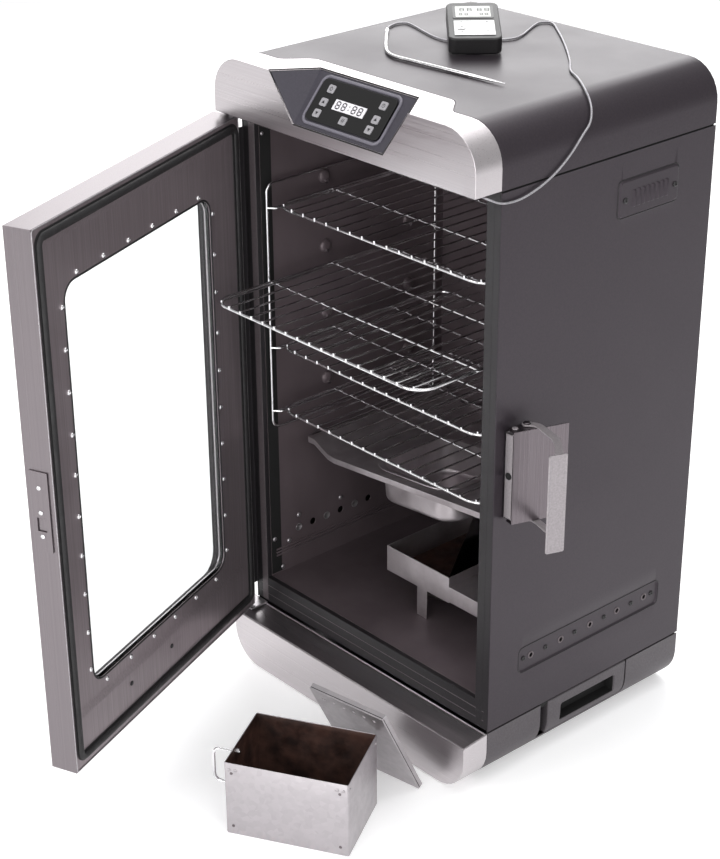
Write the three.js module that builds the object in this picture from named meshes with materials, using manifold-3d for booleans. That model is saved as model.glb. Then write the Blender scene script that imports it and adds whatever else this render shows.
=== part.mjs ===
// Electric cabinet smoker with digital controls, glass door, racks, chip box and remote thermometer.
// Units: millimetres.  X to the right seen from the front, Y to the back, Z up.
// Origin: on the ground, under the centre of the cabinet.
// The door and its latch stand open, the second rack is pulled out, and the wood chip box and its lid
// stand on the ground in front of the cabinet.
import * as THREE from 'three';
import { mergeVertices } from 'three/addons/utils/BufferGeometryUtils.js';
import { ConvexGeometry } from 'three/addons/geometries/ConvexGeometry.js';
import Module from 'manifold-3d';

const wasm = await Module();
wasm.setup();

// ---------------------------------------------------------------- driving dimensions
const HALF_W = 222;          // half width of the cabinet
const Y_FRONT = -196;        // front face of the top bezel and bottom skirt
const Y_PANEL = -156;        // front edge of the side panels
const Y_BACK = 195.7;        // rear edge of the shell
const Z_BOTTOM = 2;          // underside of the shell
const Z_TOP = 840;           // top of the hood
const CORNER_R = 46;         // outer corner radius in the front view
const SKIN = 1.5;            // sheet thickness
const GAP = 0.3;             // gap between neighbouring pieces
const Z_BEZEL = 769.5;       // underside of the top bezel
const Z_HOOD = 769;          // seam between hood and side panels
const Z_BASE = 77.7;         // seam between side panels and base shell
const LINER_X = 199, LINER_Y0 = -148, LINER_Y1 = 165, LINER_Z0 = 116, LINER_Z1 = 789;
const PIVOT = [-223, -177.7];               // door hinge axis
const DOOR_OPEN = 67.8;                     // opening of the door as modelled, degrees
const DOOR = { x: 220, y0: -195.5, y1: -160, z0: 80, z1: 763 };
const WINDOW = { x0: -151.5, x1: 161.5, z0: 172.5, z1: 679.5, r: 20 };
const RACK = { x: 186, r: 28, wire: 4, yIn: -140, depth: 290 };
const RACK_Z = [643, 544, 455, 366];        // undersides of racks 1 to 4
const RACK_OUT = 102;                       // rack 2 is pulled out by this much
const PANEL_TILT = 48.82;                   // slope of the control panel, degrees
const PANEL_C = [0, -171.5, 812];           // centre of the control panel surface
const KEYS = [[-45.6, 16.4], [-46.6, -0.9], [-47.8, -15.6], [-3.3, -15.1], [42.9, 15.7], [42.7, -2.3], [40.8, -15.6]];
const CHIP_BOX = { pos: [83.3, -455.1, 0], rot: 30.35, l: 154.6, w: 110.5, h: 102, t: 1.2 };
const LID = { pos: [62.6, -242.4, 0.3], rotZ: 9.6, lean: 27.56, w: 112, h: 158, t: 8.3 };
const REMOTE = { pos: [2.5, 18.6, 840.3], rotZ: 48, tilt: 6.5, w: 62.6, l: 118, t: 20 };

// probe rod and its lead, lying on the hood and hanging over the right shoulder
const PROBE = [[116, -47, 842.5], [35.5, -54, 842.5], [-30, -58.5, 842.5], [-53, -59.3, 842.5], [-70, -53.4, 842.5], [-85, -42.5, 842.5], [-101, -28.5, 842.5], [-127.5, -3.5, 842.5], [-150.9, 19.5, 842.5]];
const LEAD = [
  [-151.3, 19.9, 842.3], [-157, 26.6, 841.7], [-161.4, 36.3, 841.6], [-163.6, 48.7, 841.6], [-158.5, 57.3, 841.6], [-147, 56, 841.6], [-109.7, 43.5, 841.6], [-84.4, 36.2, 841.6], [-64.5, 36.5, 841.6], [-42, 57, 841.6], [-21, 84, 841.6],
  [-14, 101, 841.6], [-18.3, 118.5, 841.6], [-29.9, 141.8, 841.6], [-40.4, 163.5, 841.6], [-43.5, 177, 841.6], [-38, 184.8, 841.6], [-27, 182, 841.6],
  [-7.8, 167.7, 841.6], [25, 141.6, 841.6], [65.8, 106.6, 841.6], [100.6, 74.4, 841.6], [130, 44.5, 841.7], [151.8, 31, 842], [174, 15, 842],
  [190, 3.5, 840.2], [203, -4, 834.6], [212.5, -10.5, 826.5], [220, -20, 815.7], [223.9, -36, 805], [224.4, -54.7, 787.4], [224.7, -76, 773],
  [224.9, -100.5, 762.4], [225.1, -128, 756], [225.3, -150, 756], [225.3, -164, 759.2], [224.6, -173, 763.3],
  [221, -178.5, 766.3], [213, -178.5, 766.6], [203, -176.5, 766.6], [192, -171.5, 766.6], [186.5, -166.5, 766.6], [185, -161.3, 766.6]];

// ---------------------------------------------------------------- helpers
const group = new THREE.Group();
const rad = THREE.MathUtils.degToRad;
const mat = (color, roughness, metalness) => ({ color, roughness, metalness });
const M = {
  shell: mat(0x4b464a, 0.45, 0.6), steel: mat(0xc4c2c4, 0.3, 1.0), dark: mat(0x2c292b, 0.6, 0.4),
  enamel: mat(0x3a3638, 0.35, 0.3), chrome: mat(0xe6e6e8, 0.12, 1.0), black: mat(0x141314, 0.6, 0.0),
  grey: mat(0x7d7c85, 0.5, 0.0), membrane: mat(0x0c0b0d, 0.25, 0.0), key: mat(0xb9b8bb, 0.4, 0.0),
  glass: mat(0xdfe6e6, 0.03, 0.0), rubber: mat(0x121112, 0.8, 0.0), wool: mat(0xd8cfa8, 0.95, 0.0),
  board: mat(0x1e5a35, 0.6, 0.0), galv: mat(0xc9c8ca, 0.4, 0.9), white: mat(0xf2f2f2, 0.5, 0.0), lcd: mat(0xb9c2b4, 0.2, 0.0),
};

function toManifold(geometry) {
  const g = geometry.index ? geometry.clone() : geometry.clone();
  g.deleteAttribute('normal');
  g.deleteAttribute('uv');
  const m = mergeVertices(g, 1e-4);
  return new wasm.Manifold(new wasm.Mesh({
    numProp: 3,
    vertProperties: new Float32Array(m.attributes.position.array),
    triVerts: new Uint32Array(m.index.array),
  }));
}
function toGeometry(solid) {
  const mesh = solid.getMesh();
  const g = new THREE.BufferGeometry();
  g.setAttribute('position', new THREE.BufferAttribute(new Float32Array(mesh.vertProperties), 3));
  g.setIndex(new THREE.BufferAttribute(new Uint32Array(mesh.triVerts), 1));
  g.computeVertexNormals();
  return g;
}
function add(name, solid, m, parent = group) {
  const mesh = new THREE.Mesh(toGeometry(solid), new THREE.MeshStandardMaterial(m));
  mesh.name = name;
  parent.add(mesh);
  return mesh;
}
function box(x0, x1, y0, y1, z0, z1) {
  const g = new THREE.BoxGeometry(x1 - x0, y1 - y0, z1 - z0);
  g.translate((x0 + x1) / 2, (y0 + y1) / 2, (z0 + z1) / 2);
  return toManifold(g);
}
function cyl(axis, r, c, a, b, n = 16) {
  const g = new THREE.CylinderGeometry(r, r, b - a, n);
  const mid = (a + b) / 2;
  if (axis === 'z') { g.rotateX(Math.PI / 2); g.translate(c[0], c[1], mid); }
  if (axis === 'x') { g.rotateZ(Math.PI / 2); g.translate(mid, c[0], c[1]); }
  if (axis === 'y') { g.translate(c[0], mid, c[1]); }
  return toManifold(g);
}
const shapeOf = (pts) => new THREE.Shape(pts.map((p) => new THREE.Vector2(p[0], p[1])));
const hullOf = (pts) => toManifold(new ConvexGeometry(pts.map((p) => new THREE.Vector3(...p))));
function prismZ(shape, z0, z1) {          // shape in X, Y
  const g = new THREE.ExtrudeGeometry(shape, { depth: z1 - z0, bevelEnabled: false });
  g.translate(0, 0, z0);
  return toManifold(g);
}
function prismY(shape, y0, y1) {          // shape in X, Z
  const g = new THREE.ExtrudeGeometry(shape, { depth: y1 - y0, bevelEnabled: false });
  g.rotateX(Math.PI / 2);
  g.translate(0, y1, 0);
  return toManifold(g);
}
function prismX(shape, x0, x1) {          // shape in Y, Z
  const g = new THREE.ExtrudeGeometry(shape, { depth: x1 - x0, bevelEnabled: false });
  g.applyMatrix4(new THREE.Matrix4().set(0, 0, 1, x0, 1, 0, 0, 0, 0, 1, 0, 0, 0, 0, 0, 1));
  return toManifold(g);
}
function roundRect(x0, x1, y0, y1, r, n = 5) {
  const pts = [];
  const c = [[x1 - r, y0 + r, -90], [x1 - r, y1 - r, 0], [x0 + r, y1 - r, 90], [x0 + r, y0 + r, 180]];
  for (const [cx, cy, a0] of c) {
    for (let i = 0; i <= n; i++) {
      const a = rad(a0 + (90 * i) / n);
      pts.push([cx + r * Math.cos(a), cy + r * Math.sin(a)]);
    }
  }
  return shapeOf(pts);
}
const union = (list) => list.reduce((a, b) => a.add(b));
function sweep(points, r, steps, sides = 8) {
  const curve = new THREE.CatmullRomCurve3(points.map((p) => new THREE.Vector3(...p)), false, 'centripetal');
  const section = [];
  for (let i = 0; i < sides; i++) {
    const a = (2 * Math.PI * (i + 0.5)) / sides;
    section.push([r * Math.cos(a), r * Math.sin(a)]);
  }
  return toManifold(new THREE.ExtrudeGeometry(shapeOf(section), { steps, bevelEnabled: false, extrudePath: curve }));
}

// ---------------------------------------------------------------- outer shell
const outline = (inset) => roundRect(-HALF_W + inset, HALF_W - inset, Z_BOTTOM + inset, Z_TOP - inset, CORNER_R - inset, 8);
const tube = (y0, y1) => prismY(outline(0), y0, y1).subtract(prismY(outline(SKIN), y0 - 1, y1 + 1));
const slab = (z0, z1) => box(-300, 300, -300, 300, z0, z1);

// the bezel reaches back over the hood in a tongue with S-shaped ends
const TONGUE_X0 = 112, TONGUE_X1 = 152, TONGUE_Y = -125;
function tongue(shift) {
  const pts = [];
  const n = 8;
  for (let i = 0; i <= n; i++) {
    const t = i / n, s = t * t * (3 - 2 * t);
    pts.push([TONGUE_X0 + (TONGUE_X1 - TONGUE_X0) * t + shift, TONGUE_Y + (Y_PANEL - 1 - TONGUE_Y) * s + shift]);
  }
  const left = pts.map(([x, y]) => [-x, y]).reverse();
  return shapeOf([[TONGUE_X1 + shift, Y_PANEL - 6], ...pts.reverse(), ...left.reverse(), [-TONGUE_X1 - shift, Y_PANEL - 6]].reverse());
}
const hood = tube(Y_PANEL + 0.3, Y_BACK).intersect(slab(Z_HOOD, 900)).subtract(prismZ(tongue(0.15), 825, 850));
add('hood', hood, M.shell);

const cutTop = [[118, -196], [82, -147], [-82, -147], [-118, -196]];
const recess = union([
  hullOf([[118, -196, 840], [-118, -196, 840], [82, -147, 840], [-82, -147, 840], [76, -196, 784], [-76, -196, 784]]),
  prismZ(shapeOf([...cutTop].reverse()), 839.95, 846),
  prismY(shapeOf([[-118, 840], [-76, 784], [76, 784], [118, 840]]), -202, -195.95),
  box(-118, 118, -202, -195.95, 839.95, 846),
]);
let bezel = tube(Y_FRONT, Y_PANEL - 0.1).intersect(slab(Z_BEZEL, 900));
bezel = bezel.add(tube(Y_PANEL - 3, -120).intersect(prismZ(tongue(-0.15), 825, 850)));
bezel = bezel.add(prismY(outline(0), Y_FRONT, Y_FRONT + SKIN).intersect(slab(Z_BEZEL, 900)));
bezel = bezel.add(box(-221, 221, Y_FRONT, -158, Z_BEZEL, Z_BEZEL + SKIN));
add('top_bezel', bezel.subtract(recess), M.steel);

const housing = hullOf([[123, -194.2, 838.2], [-123, -194.2, 838.2], [87, -140, 838.2], [-87, -140, 838.2], [80, -194.2, 777], [-80, -194.2, 777]]);
add('control_housing', housing.subtract(recess), M.grey);

const skirtTop = prismX(shapeOf([[-205, 69.6], [-150, 75.24], [-150, 120], [-205, 120]]), -260, 260);
let skirt = tube(Y_FRONT, Y_PANEL - 0.1).add(prismY(outline(0), Y_FRONT, Y_FRONT + SKIN)).intersect(slab(0, 100)).subtract(skirtTop);
skirt = skirt.add(prismX(shapeOf([[Y_FRONT, 69], [-156.1, 73.1], [-156.1, 74.6], [Y_FRONT, 70.5]]), -221, 221));
add('bottom_bezel', skirt, M.steel);

// side panels with upper louvres and lower vent holes
const VENT_Y = [-82, -29, 24, 74, 125];
function sidePanel(s) {
  const x0 = s > 0 ? HALF_W - SKIN : -HALF_W, x1 = x0 + SKIN;
  let p = box(x0, x1, Y_PANEL + 0.3, Y_BACK, Z_BASE + 0.3, Z_HOOD - 2.2);
  for (let i = 0; i < 8; i++) { const y = 54 + i * 8; p = p.subtract(box(x0 - 1, x1 + 1, y - 1.6, y + 1.6, 702, 722)); }
  for (const y of VENT_Y) p = p.subtract(cyl('x', 3.6, [y, 158], x0 - 1, x1 + 1, 10));
  return p;
}
add('side_panel_left', sidePanel(-1), M.shell);
add('side_panel_right', sidePanel(1), M.shell);
add('back_panel', prismY(roundRect(-HALF_W + 1.8, HALF_W - 1.8, 3.8, Z_TOP - 1.8, 44.2, 8), 192.5, 194)
  .subtract(box(-33.5, 33.5, 190, 196, 96, 134)), M.shell);

// base shell with carrying handles let into its sides
const HANDLE = { y0: -48, y1: 96, z0: 24.5, z1: 75.5 };
let base = tube(Y_PANEL + 0.3, Y_BACK).intersect(slab(0, Z_BASE - 2.2));
// the underside is pressed down into a stiffening panel between the feet
base = base.add(box(-120, 120, -95, 135, 1.2, 3.4)).subtract(box(-118.5, 118.5, -93.5, 133.5, 2.7, 5));
base = base.subtract(box(-240, 240, -62, 97, 24, 90));
add('base_shell', base, M.dark);
function baseHandle(s) {
  const x0 = s > 0 ? 203 : -230, x1 = s > 0 ? 230 : -203;
  let h = prismY(outline(0), HANDLE.y0, HANDLE.y1).intersect(box(x0, x1, -300, 300, HANDLE.z0, HANDLE.z1));
  h = h.subtract(s > 0 ? box(206, 240, -24, 75, 37, 61) : box(-240, -206, -24, 75, 37, 61));
  return h;
}
add('base_handle_left', baseHandle(-1), M.black);
add('base_handle_right', baseHandle(1), M.black);
[['front_left', -160, -120], ['front_right', 160, -120], ['rear_left', -160, 165], ['rear_right', 160, 165]].forEach(([n, x, y]) =>
  add('foot_' + n, cyl('z', 16, [x, y], 0, 1.7, 16), M.rubber));

// ---------------------------------------------------------------- chamber
add('front_frame', prismY(roundRect(-220, 220, 78.4, 797, 4, 2), Y_PANEL + 0.7, LINER_Y0 - GAP)
  .subtract(box(-LINER_X, LINER_X, -170, -140, 116, 764)), M.black);

let liner = box(-LINER_X - 1.2, LINER_X + 1.2, LINER_Y0, LINER_Y1 + 1.2, LINER_Z0 - 1.2, LINER_Z1 + 1.2)
  .subtract(box(-LINER_X, LINER_X, LINER_Y0 - 5, LINER_Y1, LINER_Z0, LINER_Z1));
for (const y of [-99, -74, -49, -24, 2, 27]) liner = liner.subtract(cyl('x', 5, [y, 173], -210, -190, 10));
add('inner_liner', liner, M.enamel);

let wool = box(-219.9, 219.9, -146, 190, 190, 792).subtract(box(-201, 201, -150, 167, 180, 800));
wool = wool.add(box(-205, 205, -146, 190, 791.2, 820));
add('insulation_jacket', wool, M.wool);

function rackSupport(s) {
  const b = (x0, x1, ...r) => (s > 0 ? box(x0, x1, ...r) : box(-x1, -x0, ...r));
  const panTop = s > 0 ? 327.6 : 310.3;     // the drip pan slopes down to the left
  const list = [b(191, 195, -146, -142, 337, 674), b(191, 195, 142, 146, 296, 674)];
  list.push(b(191, 195, -144, 144, 670, 674), b(191, 195, -144, 144, 337, 341));
  for (const z of RACK_Z) list.push(b(182, 192, -136, 138, z - 3.3, z - GAP), b(191, 195, -144, 144, z - 3.3, z - GAP));
  list.push(b(182, 192, -84, 138, panTop - 3, panTop), b(191, 195, -84, 144, panTop - 3, panTop));
  return union(list);
}
add('rack_support_left', rackSupport(-1), M.chrome);
add('rack_support_right', rackSupport(1), M.chrome);

function rack(z) {
  const { x, r, wire, yIn, depth } = RACK;
  const y1 = yIn + depth;
  let g = prismZ(roundRect(-x, x, yIn, y1, r, 5), z, z + wire)
    .subtract(prismZ(roundRect(-x + wire, x - wire, yIn + wire, y1 - wire, r - wire, 5), z - 1, z + wire + 1));
  for (let i = -8; i <= 8; i++) {
    const inset = Math.abs(i) === 8 ? 6 : 1;
    g = g.add(box(i * 21.5 - 1.2, i * 21.5 + 1.2, yIn + inset, y1 - inset, z + 2.8, z + 5.2));
  }
  for (const y of [yIn + 95, yIn + 195]) g = g.add(box(-x + 1, x - 1, y - 1.1, y + 1.1, z + 0.3, z + 2.5));
  return g;
}
RACK_Z.forEach((z, i) => {
  const m = add('rack_' + (i + 1), rack(z), M.chrome);
  if (i === 1) m.position.y = -RACK_OUT;
});

// drip pan with the water pan hanging in it; both slope down to the left
const tray = new THREE.Group();
tray.position.set(0, 0, 312);
tray.rotation.y = -rad(5.42);
group.add(tray);
const sheetLine = [[-184, 17.5], [-172, 17], [-160, 10], [-147, 2.5], [-134, 0], [184, 0]];
const band = (t) => shapeOf([...sheetLine.map(([x, z]) => [x, z - t]), ...[...sheetLine].reverse()]);
let pan = union([prismY(band(1.2), -92, 150), prismY(band(8), -92, -90.8), box(182.8, 184, -92, 150, -1.2, 6), box(-134, 184, 148.8, 150, -1.2, 6)]);
pan = pan.subtract(prismZ(roundRect(-77.2, 65.2, -73.2, 53.2, 31.2, 5), -20, 20));
add('drip_pan', pan, M.galv, tray);
const tubIn = (z0, z1) => prismZ(roundRect(-74.7, 62.7, -70.7, 50.7, 28.7, 5), z0, z1);
const tub = prismZ(roundRect(-76, 64, -72, 52, 30, 5), -48, 1).add(prismZ(roundRect(-83, 71, -79, 59, 37, 5), GAP, 1.7)).subtract(tubIn(-46.7, 10));
add('water_pan', tub, M.galv, tray);

// wood chip bay, its cover wing and the heating element under it
let bay = union([
  box(-52, 65, -71.5, -70, 158, 195), box(-52, 65, -70.5, 96, 158, 159.5), box(-52, -50.5, -70.5, 96, 158, 195),
  box(63.5, 65, -70.5, 96, 158, 195), box(-52, 65, 94.5, 96, 158, 195),
  box(64, 198.5, -71.5, -70, 160, 182), box(64, 198.5, -71, 96, 180.5, 182), box(6, 24, -71.5, -70, 116.3, 159),
]);
bay = bay.subtract(cyl('z', 14, [150, 20], 170, 190, 16));
add('chip_tray', bay, M.galv);
add('heater_element', sweep([[-30, 120, 138], [-30, 20, 138], [-28, -30, 138], [5, -52, 138], [38, -30, 138], [40, 20, 138], [40, 120, 138]], 4, 18), M.dark);

// power inlet at the rear
let inlet = box(-32, 32, 191, 203.7, 98, 132).add(box(-20, 20, 170, 192, 104, 126)).subtract(box(-14, 14, 186, 210, 108, 122));
add('power_inlet', inlet, M.black);

// ---------------------------------------------------------------- controls
const panel = new THREE.Group();
panel.position.set(...PANEL_C);
panel.rotation.x = rad(PANEL_TILT);
group.add(panel);
let membrane = prismZ(roundRect(-64, 60, -25.5, 27.5, 7, 4), GAP, 2.3).subtract(box(-30.4, 22.4, -6.4, 7.4, -1, 4));
for (const [u, v] of KEYS) membrane = membrane.subtract(box(u - 5.9, u + 5.9, v - 5.4, v + 5.4, -1, 4));
add('display_membrane', membrane, M.membrane, panel);
add('display_lens', box(-30, 22, -6, 7, GAP, 2.6), M.lcd, panel);
KEYS.forEach(([u, v], i) => add('panel_key_' + (i + 1), prismZ(roundRect(u - 5.5, u + 5.5, v - 5, v + 5, 1.6, 2), 1.3, 2.9), M.key, panel));
add('control_board', box(-60, 60, -20, 20, -10.9, -9.3), M.board, panel);

// ---------------------------------------------------------------- door, built closed and hung open on its hinge axis
const door = new THREE.Group();
door.position.set(PIVOT[0], PIVOT[1], 0);
door.rotation.z = -rad(DOOR_OPEN);
group.add(door);
const hang = (name, solid, m) => add(name, solid.translate([-PIVOT[0], -PIVOT[1], 0]), m, door);
const { x: DX, y0: DY0, y1: DY1, z0: DZ0, z1: DZ1 } = DOOR;
const w = WINDOW;
const wrect = (g, r) => roundRect(w.x0 - g, w.x1 + g, w.z0 - g, w.z1 + g, r, 4);
let doorFrame = box(-DX, DX, DY0, DY1, DZ0, DZ1).subtract(box(-DX + 1.8, DX - 1.8, DY0 + 1.8, 0, DZ0 + 1.8, DZ1 - 1.8));
doorFrame = doorFrame.subtract(prismY(wrect(21, 30), -200, -190));
hang('door_frame', doorFrame, M.steel);
let doorLiner = box(-217.8, 217.8, -166.4, -160.3, 82.2, 760.8);
doorLiner = doorLiner.subtract(hullOf([[-203, -160.2, 146], [203, -160.2, 146], [-203, -160.2, 744], [203, -160.2, 744],
  [-203, -159, 146], [203, -159, 146], [-203, -159, 744], [203, -159, 744], [-190, -165, 155], [190, -165, 155], [-190, -165, 733], [190, -165, 733]]));
doorLiner = doorLiner.subtract(prismY(wrect(0, 20), -170, -150));
hang('door_liner', doorLiner, M.enamel);
let ring = prismY(roundRect(-216, 216, 88, 757, 12, 3), -160, -156.5).subtract(prismY(roundRect(-203.3, 203.3, 104, 744.3, 8, 3), -170, -150));
hang('door_gasket', ring, M.rubber);
let winFrame = prismY(wrect(20.6, 29.6), -193.4, -166.7).subtract(prismY(wrect(15, 26), -200, -180));
winFrame = winFrame.subtract(prismY(wrect(0, 20), -185, -160)).subtract(prismY(wrect(8, 24), -177, -160));
hang('window_frame', winFrame, M.dark);
hang('window_glass', prismY(wrect(7.6, 23.6), -176.7, -172.7), M.glass);
hang('striker_plate', box(220.3, 222, -189, -165, 380, 480).subtract(box(219, 223, -183, -171, 405, 422)), M.steel);
function knuckle(z0, z1) {
  return cyl('z', 5.4, PIVOT, z0, z1, 16).add(box(-224, -219, -184, -171.4, z0, z1)).subtract(cyl('z', 2.9, PIVOT, z0 - 1, z1 + 1, 16)).subtract(box(-220.3, -200, -200, -150, 0, 900));
}
hang('hinge_knuckle_upper', knuckle(742, 763), M.steel);
hang('hinge_knuckle_lower', knuckle(80, 100), M.steel);
const bracket = (z0, pz0, pz1) => box(-228, -200, -185, -156.6, z0, z0 + 2.6).add(cyl('z', 2.5, PIVOT, pz0, pz1, 16));
add('upper_hinge_bracket', bracket(766.3, 744, 767), M.steel);
add('lower_hinge_bracket', bracket(75.4, 77, 98), M.steel);

// ---------------------------------------------------------------- latch on the right side panel
const PIN = [230.4, -133.4];                // the catch swings on this pin
const STUB = [232.5, -117];                 // the handle swings on stubs of the catch
let bracket2 = union([box(222.3, 223.9, -140.6, -100, 371, 481), box(222.3, 234.5, -140.6, -139, 371, 481),
  box(222.3, 235, -140.6, -127, 479.4, 481), box(222.3, 235, -140.6, -127, 371, 372.6)]);
bracket2 = bracket2.subtract(cyl('y', 3.4, [229.5, 427], -145, -135, 12)).add(cyl('z', 2.3, PIN, 366, 486.8, 12)).add(cyl('z', 3.8, PIN, 485.3, 486.8, 12));
add('latch_bracket', bracket2, M.steel);
const A2 = [236.6, -141.6], B2 = [259.4, -75.8], N2 = [0.9449 * 0.8, -0.3274 * 0.8];
const side = [A2, [247.1, -111.4], [230.5, -110.5], [227, -120], [226.4, -139.5]];
let grab = prismZ(shapeOf([[A2[0] - N2[0], A2[1] - N2[1]], [A2[0] + N2[0], A2[1] + N2[1]], [B2[0] + N2[0], B2[1] + N2[1]], [B2[0] - N2[0], B2[1] - N2[1]]]), 367, 485);
for (const z of [367, 483.4]) grab = grab.add(prismZ(shapeOf(side), z, z + 1.6));
grab = grab.subtract(cyl('z', 2.7, PIN, 360, 490, 12)).add(cyl('z', 2.3, STUB, 483.5, 489, 12)).add(cyl('z', 4, STUB, 487.8, 489.2, 12));
add('latch_catch', grab.add(cyl('z', 2.3, STUB, 363, 368.5, 12)).add(cyl('z', 4, STUB, 362.6, 364, 12)), M.steel);
const path = [[232.5, -117], [243, -110], [262, -115.5], [281.5, -121.5], [294.4, -130], [311.5, -147]];
function ribbon(p, w) {
  const left = [], right = [];
  p.forEach((q, i) => {
    const a = p[Math.max(i - 1, 0)], c = p[Math.min(i + 1, p.length - 1)];
    const l = Math.hypot(c[0] - a[0], c[1] - a[1]), n = [-(c[1] - a[1]) / l, (c[0] - a[0]) / l];
    left.push([q[0] + (n[0] * w) / 2, q[1] + (n[1] * w) / 2]);
    right.push([q[0] - (n[0] * w) / 2, q[1] - (n[1] * w) / 2]);
  });
  return shapeOf([...left, ...right.reverse()]);
}
let grip = prismZ(ribbon([[308, -158], [315, -139]], 2), 364.4, 487.5);
for (const [z0, z1] of [[485.4, 487.5], [364.4, 366.6]]) grip = grip.add(prismZ(ribbon(path, 9), z0, z1)).add(cyl('z', 5.5, STUB, z0, z1, 16));
add('latch_handle', grip.subtract(cyl('z', 2.7, STUB, 360, 490, 12)), M.steel);

// ---------------------------------------------------------------- wood chip box and lid, on the ground
const cb = new THREE.Group();
cb.position.set(...CHIP_BOX.pos);
cb.rotation.z = rad(CHIP_BOX.rot);
group.add(cb);
const { l: BL, w: BW, h: BH, t: BT } = CHIP_BOX;
add('chip_box', box(0, BL, 0, BW, 0, BH).subtract(box(BT, BL - BT, BT, BW - BT, BT, BH + 5)), M.galv, cb);
add('chip_box_handle', sweep([[-0.4, 37, 93], [-14, 37, 93], [-25, 37, 92.5], [-29, 37, 88], [-29.5, 37, 78], [-29.5, 37, 62], [-29, 37, 51], [-25, 37, 46.5], [-14, 37, 46], [-0.4, 37, 46]], 2.3, 16), M.chrome, cb);
const lidG = new THREE.Group();
lidG.position.set(...LID.pos);
lidG.rotation.order = 'ZXY';
lidG.rotation.set(rad(LID.lean), 0, rad(LID.rotZ));
group.add(lidG);
let lid = box(0, LID.w, 0, LID.t, 0, LID.h).subtract(box(1.2, LID.w - 1.2, 1.2, 20, 1.2, LID.h - 1.2));
for (let i = 0; i < 6; i++) lid = lid.subtract(cyl('y', 2.6, [17 + i * 15.6, LID.h - 14], -3, 5, 8));
add('chip_box_lid', lid, M.galv, lidG);

// ---------------------------------------------------------------- remote thermometer, probe and lead on the hood
const r1 = new THREE.Group();
r1.position.set(...REMOTE.pos);
r1.rotation.z = rad(REMOTE.rotZ);
group.add(r1);
const r2 = new THREE.Group();
r2.rotation.x = rad(REMOTE.tilt);
r1.add(r2);
const RW = REMOTE.w / 2, RL = REMOTE.l, RT = REMOTE.t;
add('remote_housing', prismZ(roundRect(-RW, RW, 0, RL, 9, 4), 0, RT), M.black, r2);
let pad = box(-24, 24, 10, 56, RT + GAP, RT + 0.8);
for (const [u, v] of [[-15, 18], [0, 18], [15, 18], [-15, 33], [15, 33], [-15, 48], [15, 48]]) pad = pad.add(box(u - 5, u + 5, v - 4, v + 4, RT + 0.6, RT + 2));
add('remote_keypad', pad, M.white, r2);
add('remote_clip', hullOf([[-12, 84, 0], [12, 84, 0], [-12, 104, 0], [12, 104, 0], [-12, 84, 9.1], [12, 84, 9.1], [-12, 104, 11.3], [12, 104, 11.3]]), M.black, r1);
add('probe_rod', sweep(PROBE, 2.2, 18), M.chrome);
add('probe_lead', sweep(LEAD, 1.25, 80), M.grey);
add('probe_socket', cyl('y', 2.4, [185, 766.6], -161, Y_PANEL + 0.4, 12), M.steel);

export default group;
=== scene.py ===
import bpy, bmesh, math, random
from mathutils import Vector, Matrix


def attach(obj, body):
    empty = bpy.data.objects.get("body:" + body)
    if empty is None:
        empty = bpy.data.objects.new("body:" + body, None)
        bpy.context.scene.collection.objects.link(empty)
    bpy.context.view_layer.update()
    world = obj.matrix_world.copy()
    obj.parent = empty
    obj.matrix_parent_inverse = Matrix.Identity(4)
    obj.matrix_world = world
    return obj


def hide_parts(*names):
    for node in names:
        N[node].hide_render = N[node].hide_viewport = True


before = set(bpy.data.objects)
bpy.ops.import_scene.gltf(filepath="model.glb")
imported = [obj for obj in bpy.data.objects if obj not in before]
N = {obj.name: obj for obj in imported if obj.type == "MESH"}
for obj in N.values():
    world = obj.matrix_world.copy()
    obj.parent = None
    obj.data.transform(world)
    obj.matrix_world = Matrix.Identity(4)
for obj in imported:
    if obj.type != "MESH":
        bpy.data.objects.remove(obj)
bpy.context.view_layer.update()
rad, sin, cos, pi = math.radians, math.sin, math.cos, math.pi
S = 0.001
random.seed(7)

# ------------------------------------------------------------------ camera
a, e, roll = rad(50.2377), rad(-27.2412), rad(-1.199)
d = Vector((-sin(a) * cos(e), cos(a) * cos(e), sin(e)))
r = Vector((d.y, -d.x, 0)).normalized()
u = r.cross(d)
r2, u2 = cos(roll) * r + sin(roll) * u, -sin(roll) * r + cos(roll) * u
cam_data = bpy.data.cameras.new("camera")
cam = bpy.data.objects.new("camera", cam_data)
bpy.context.scene.collection.objects.link(cam)
cam.matrix_world = Matrix(((r2.x, u2.x, -d.x, 1.6416), (r2.y, u2.y, -d.y, -1.61721), (r2.z, u2.z, -d.z, 1.4739), (0, 0, 0, 1)))
cam_data.lens, cam_data.sensor_width = 83.82, 36
cam_data.shift_x, cam_data.shift_y = 0.0634, 0.0578
cam_data.clip_start, cam_data.clip_end = 0.05, 100
bpy.context.scene.camera = cam


# ------------------------------------------------------------------ materials
def lin(h):
    out = []
    for i in (1, 3, 5):
        c = int(h[i:i + 2], 16) / 255
        out.append(c / 12.92 if c <= 0.04045 else ((c + 0.055) / 1.055) ** 2.4)
    return (out[0], out[1], out[2], 1)


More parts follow.
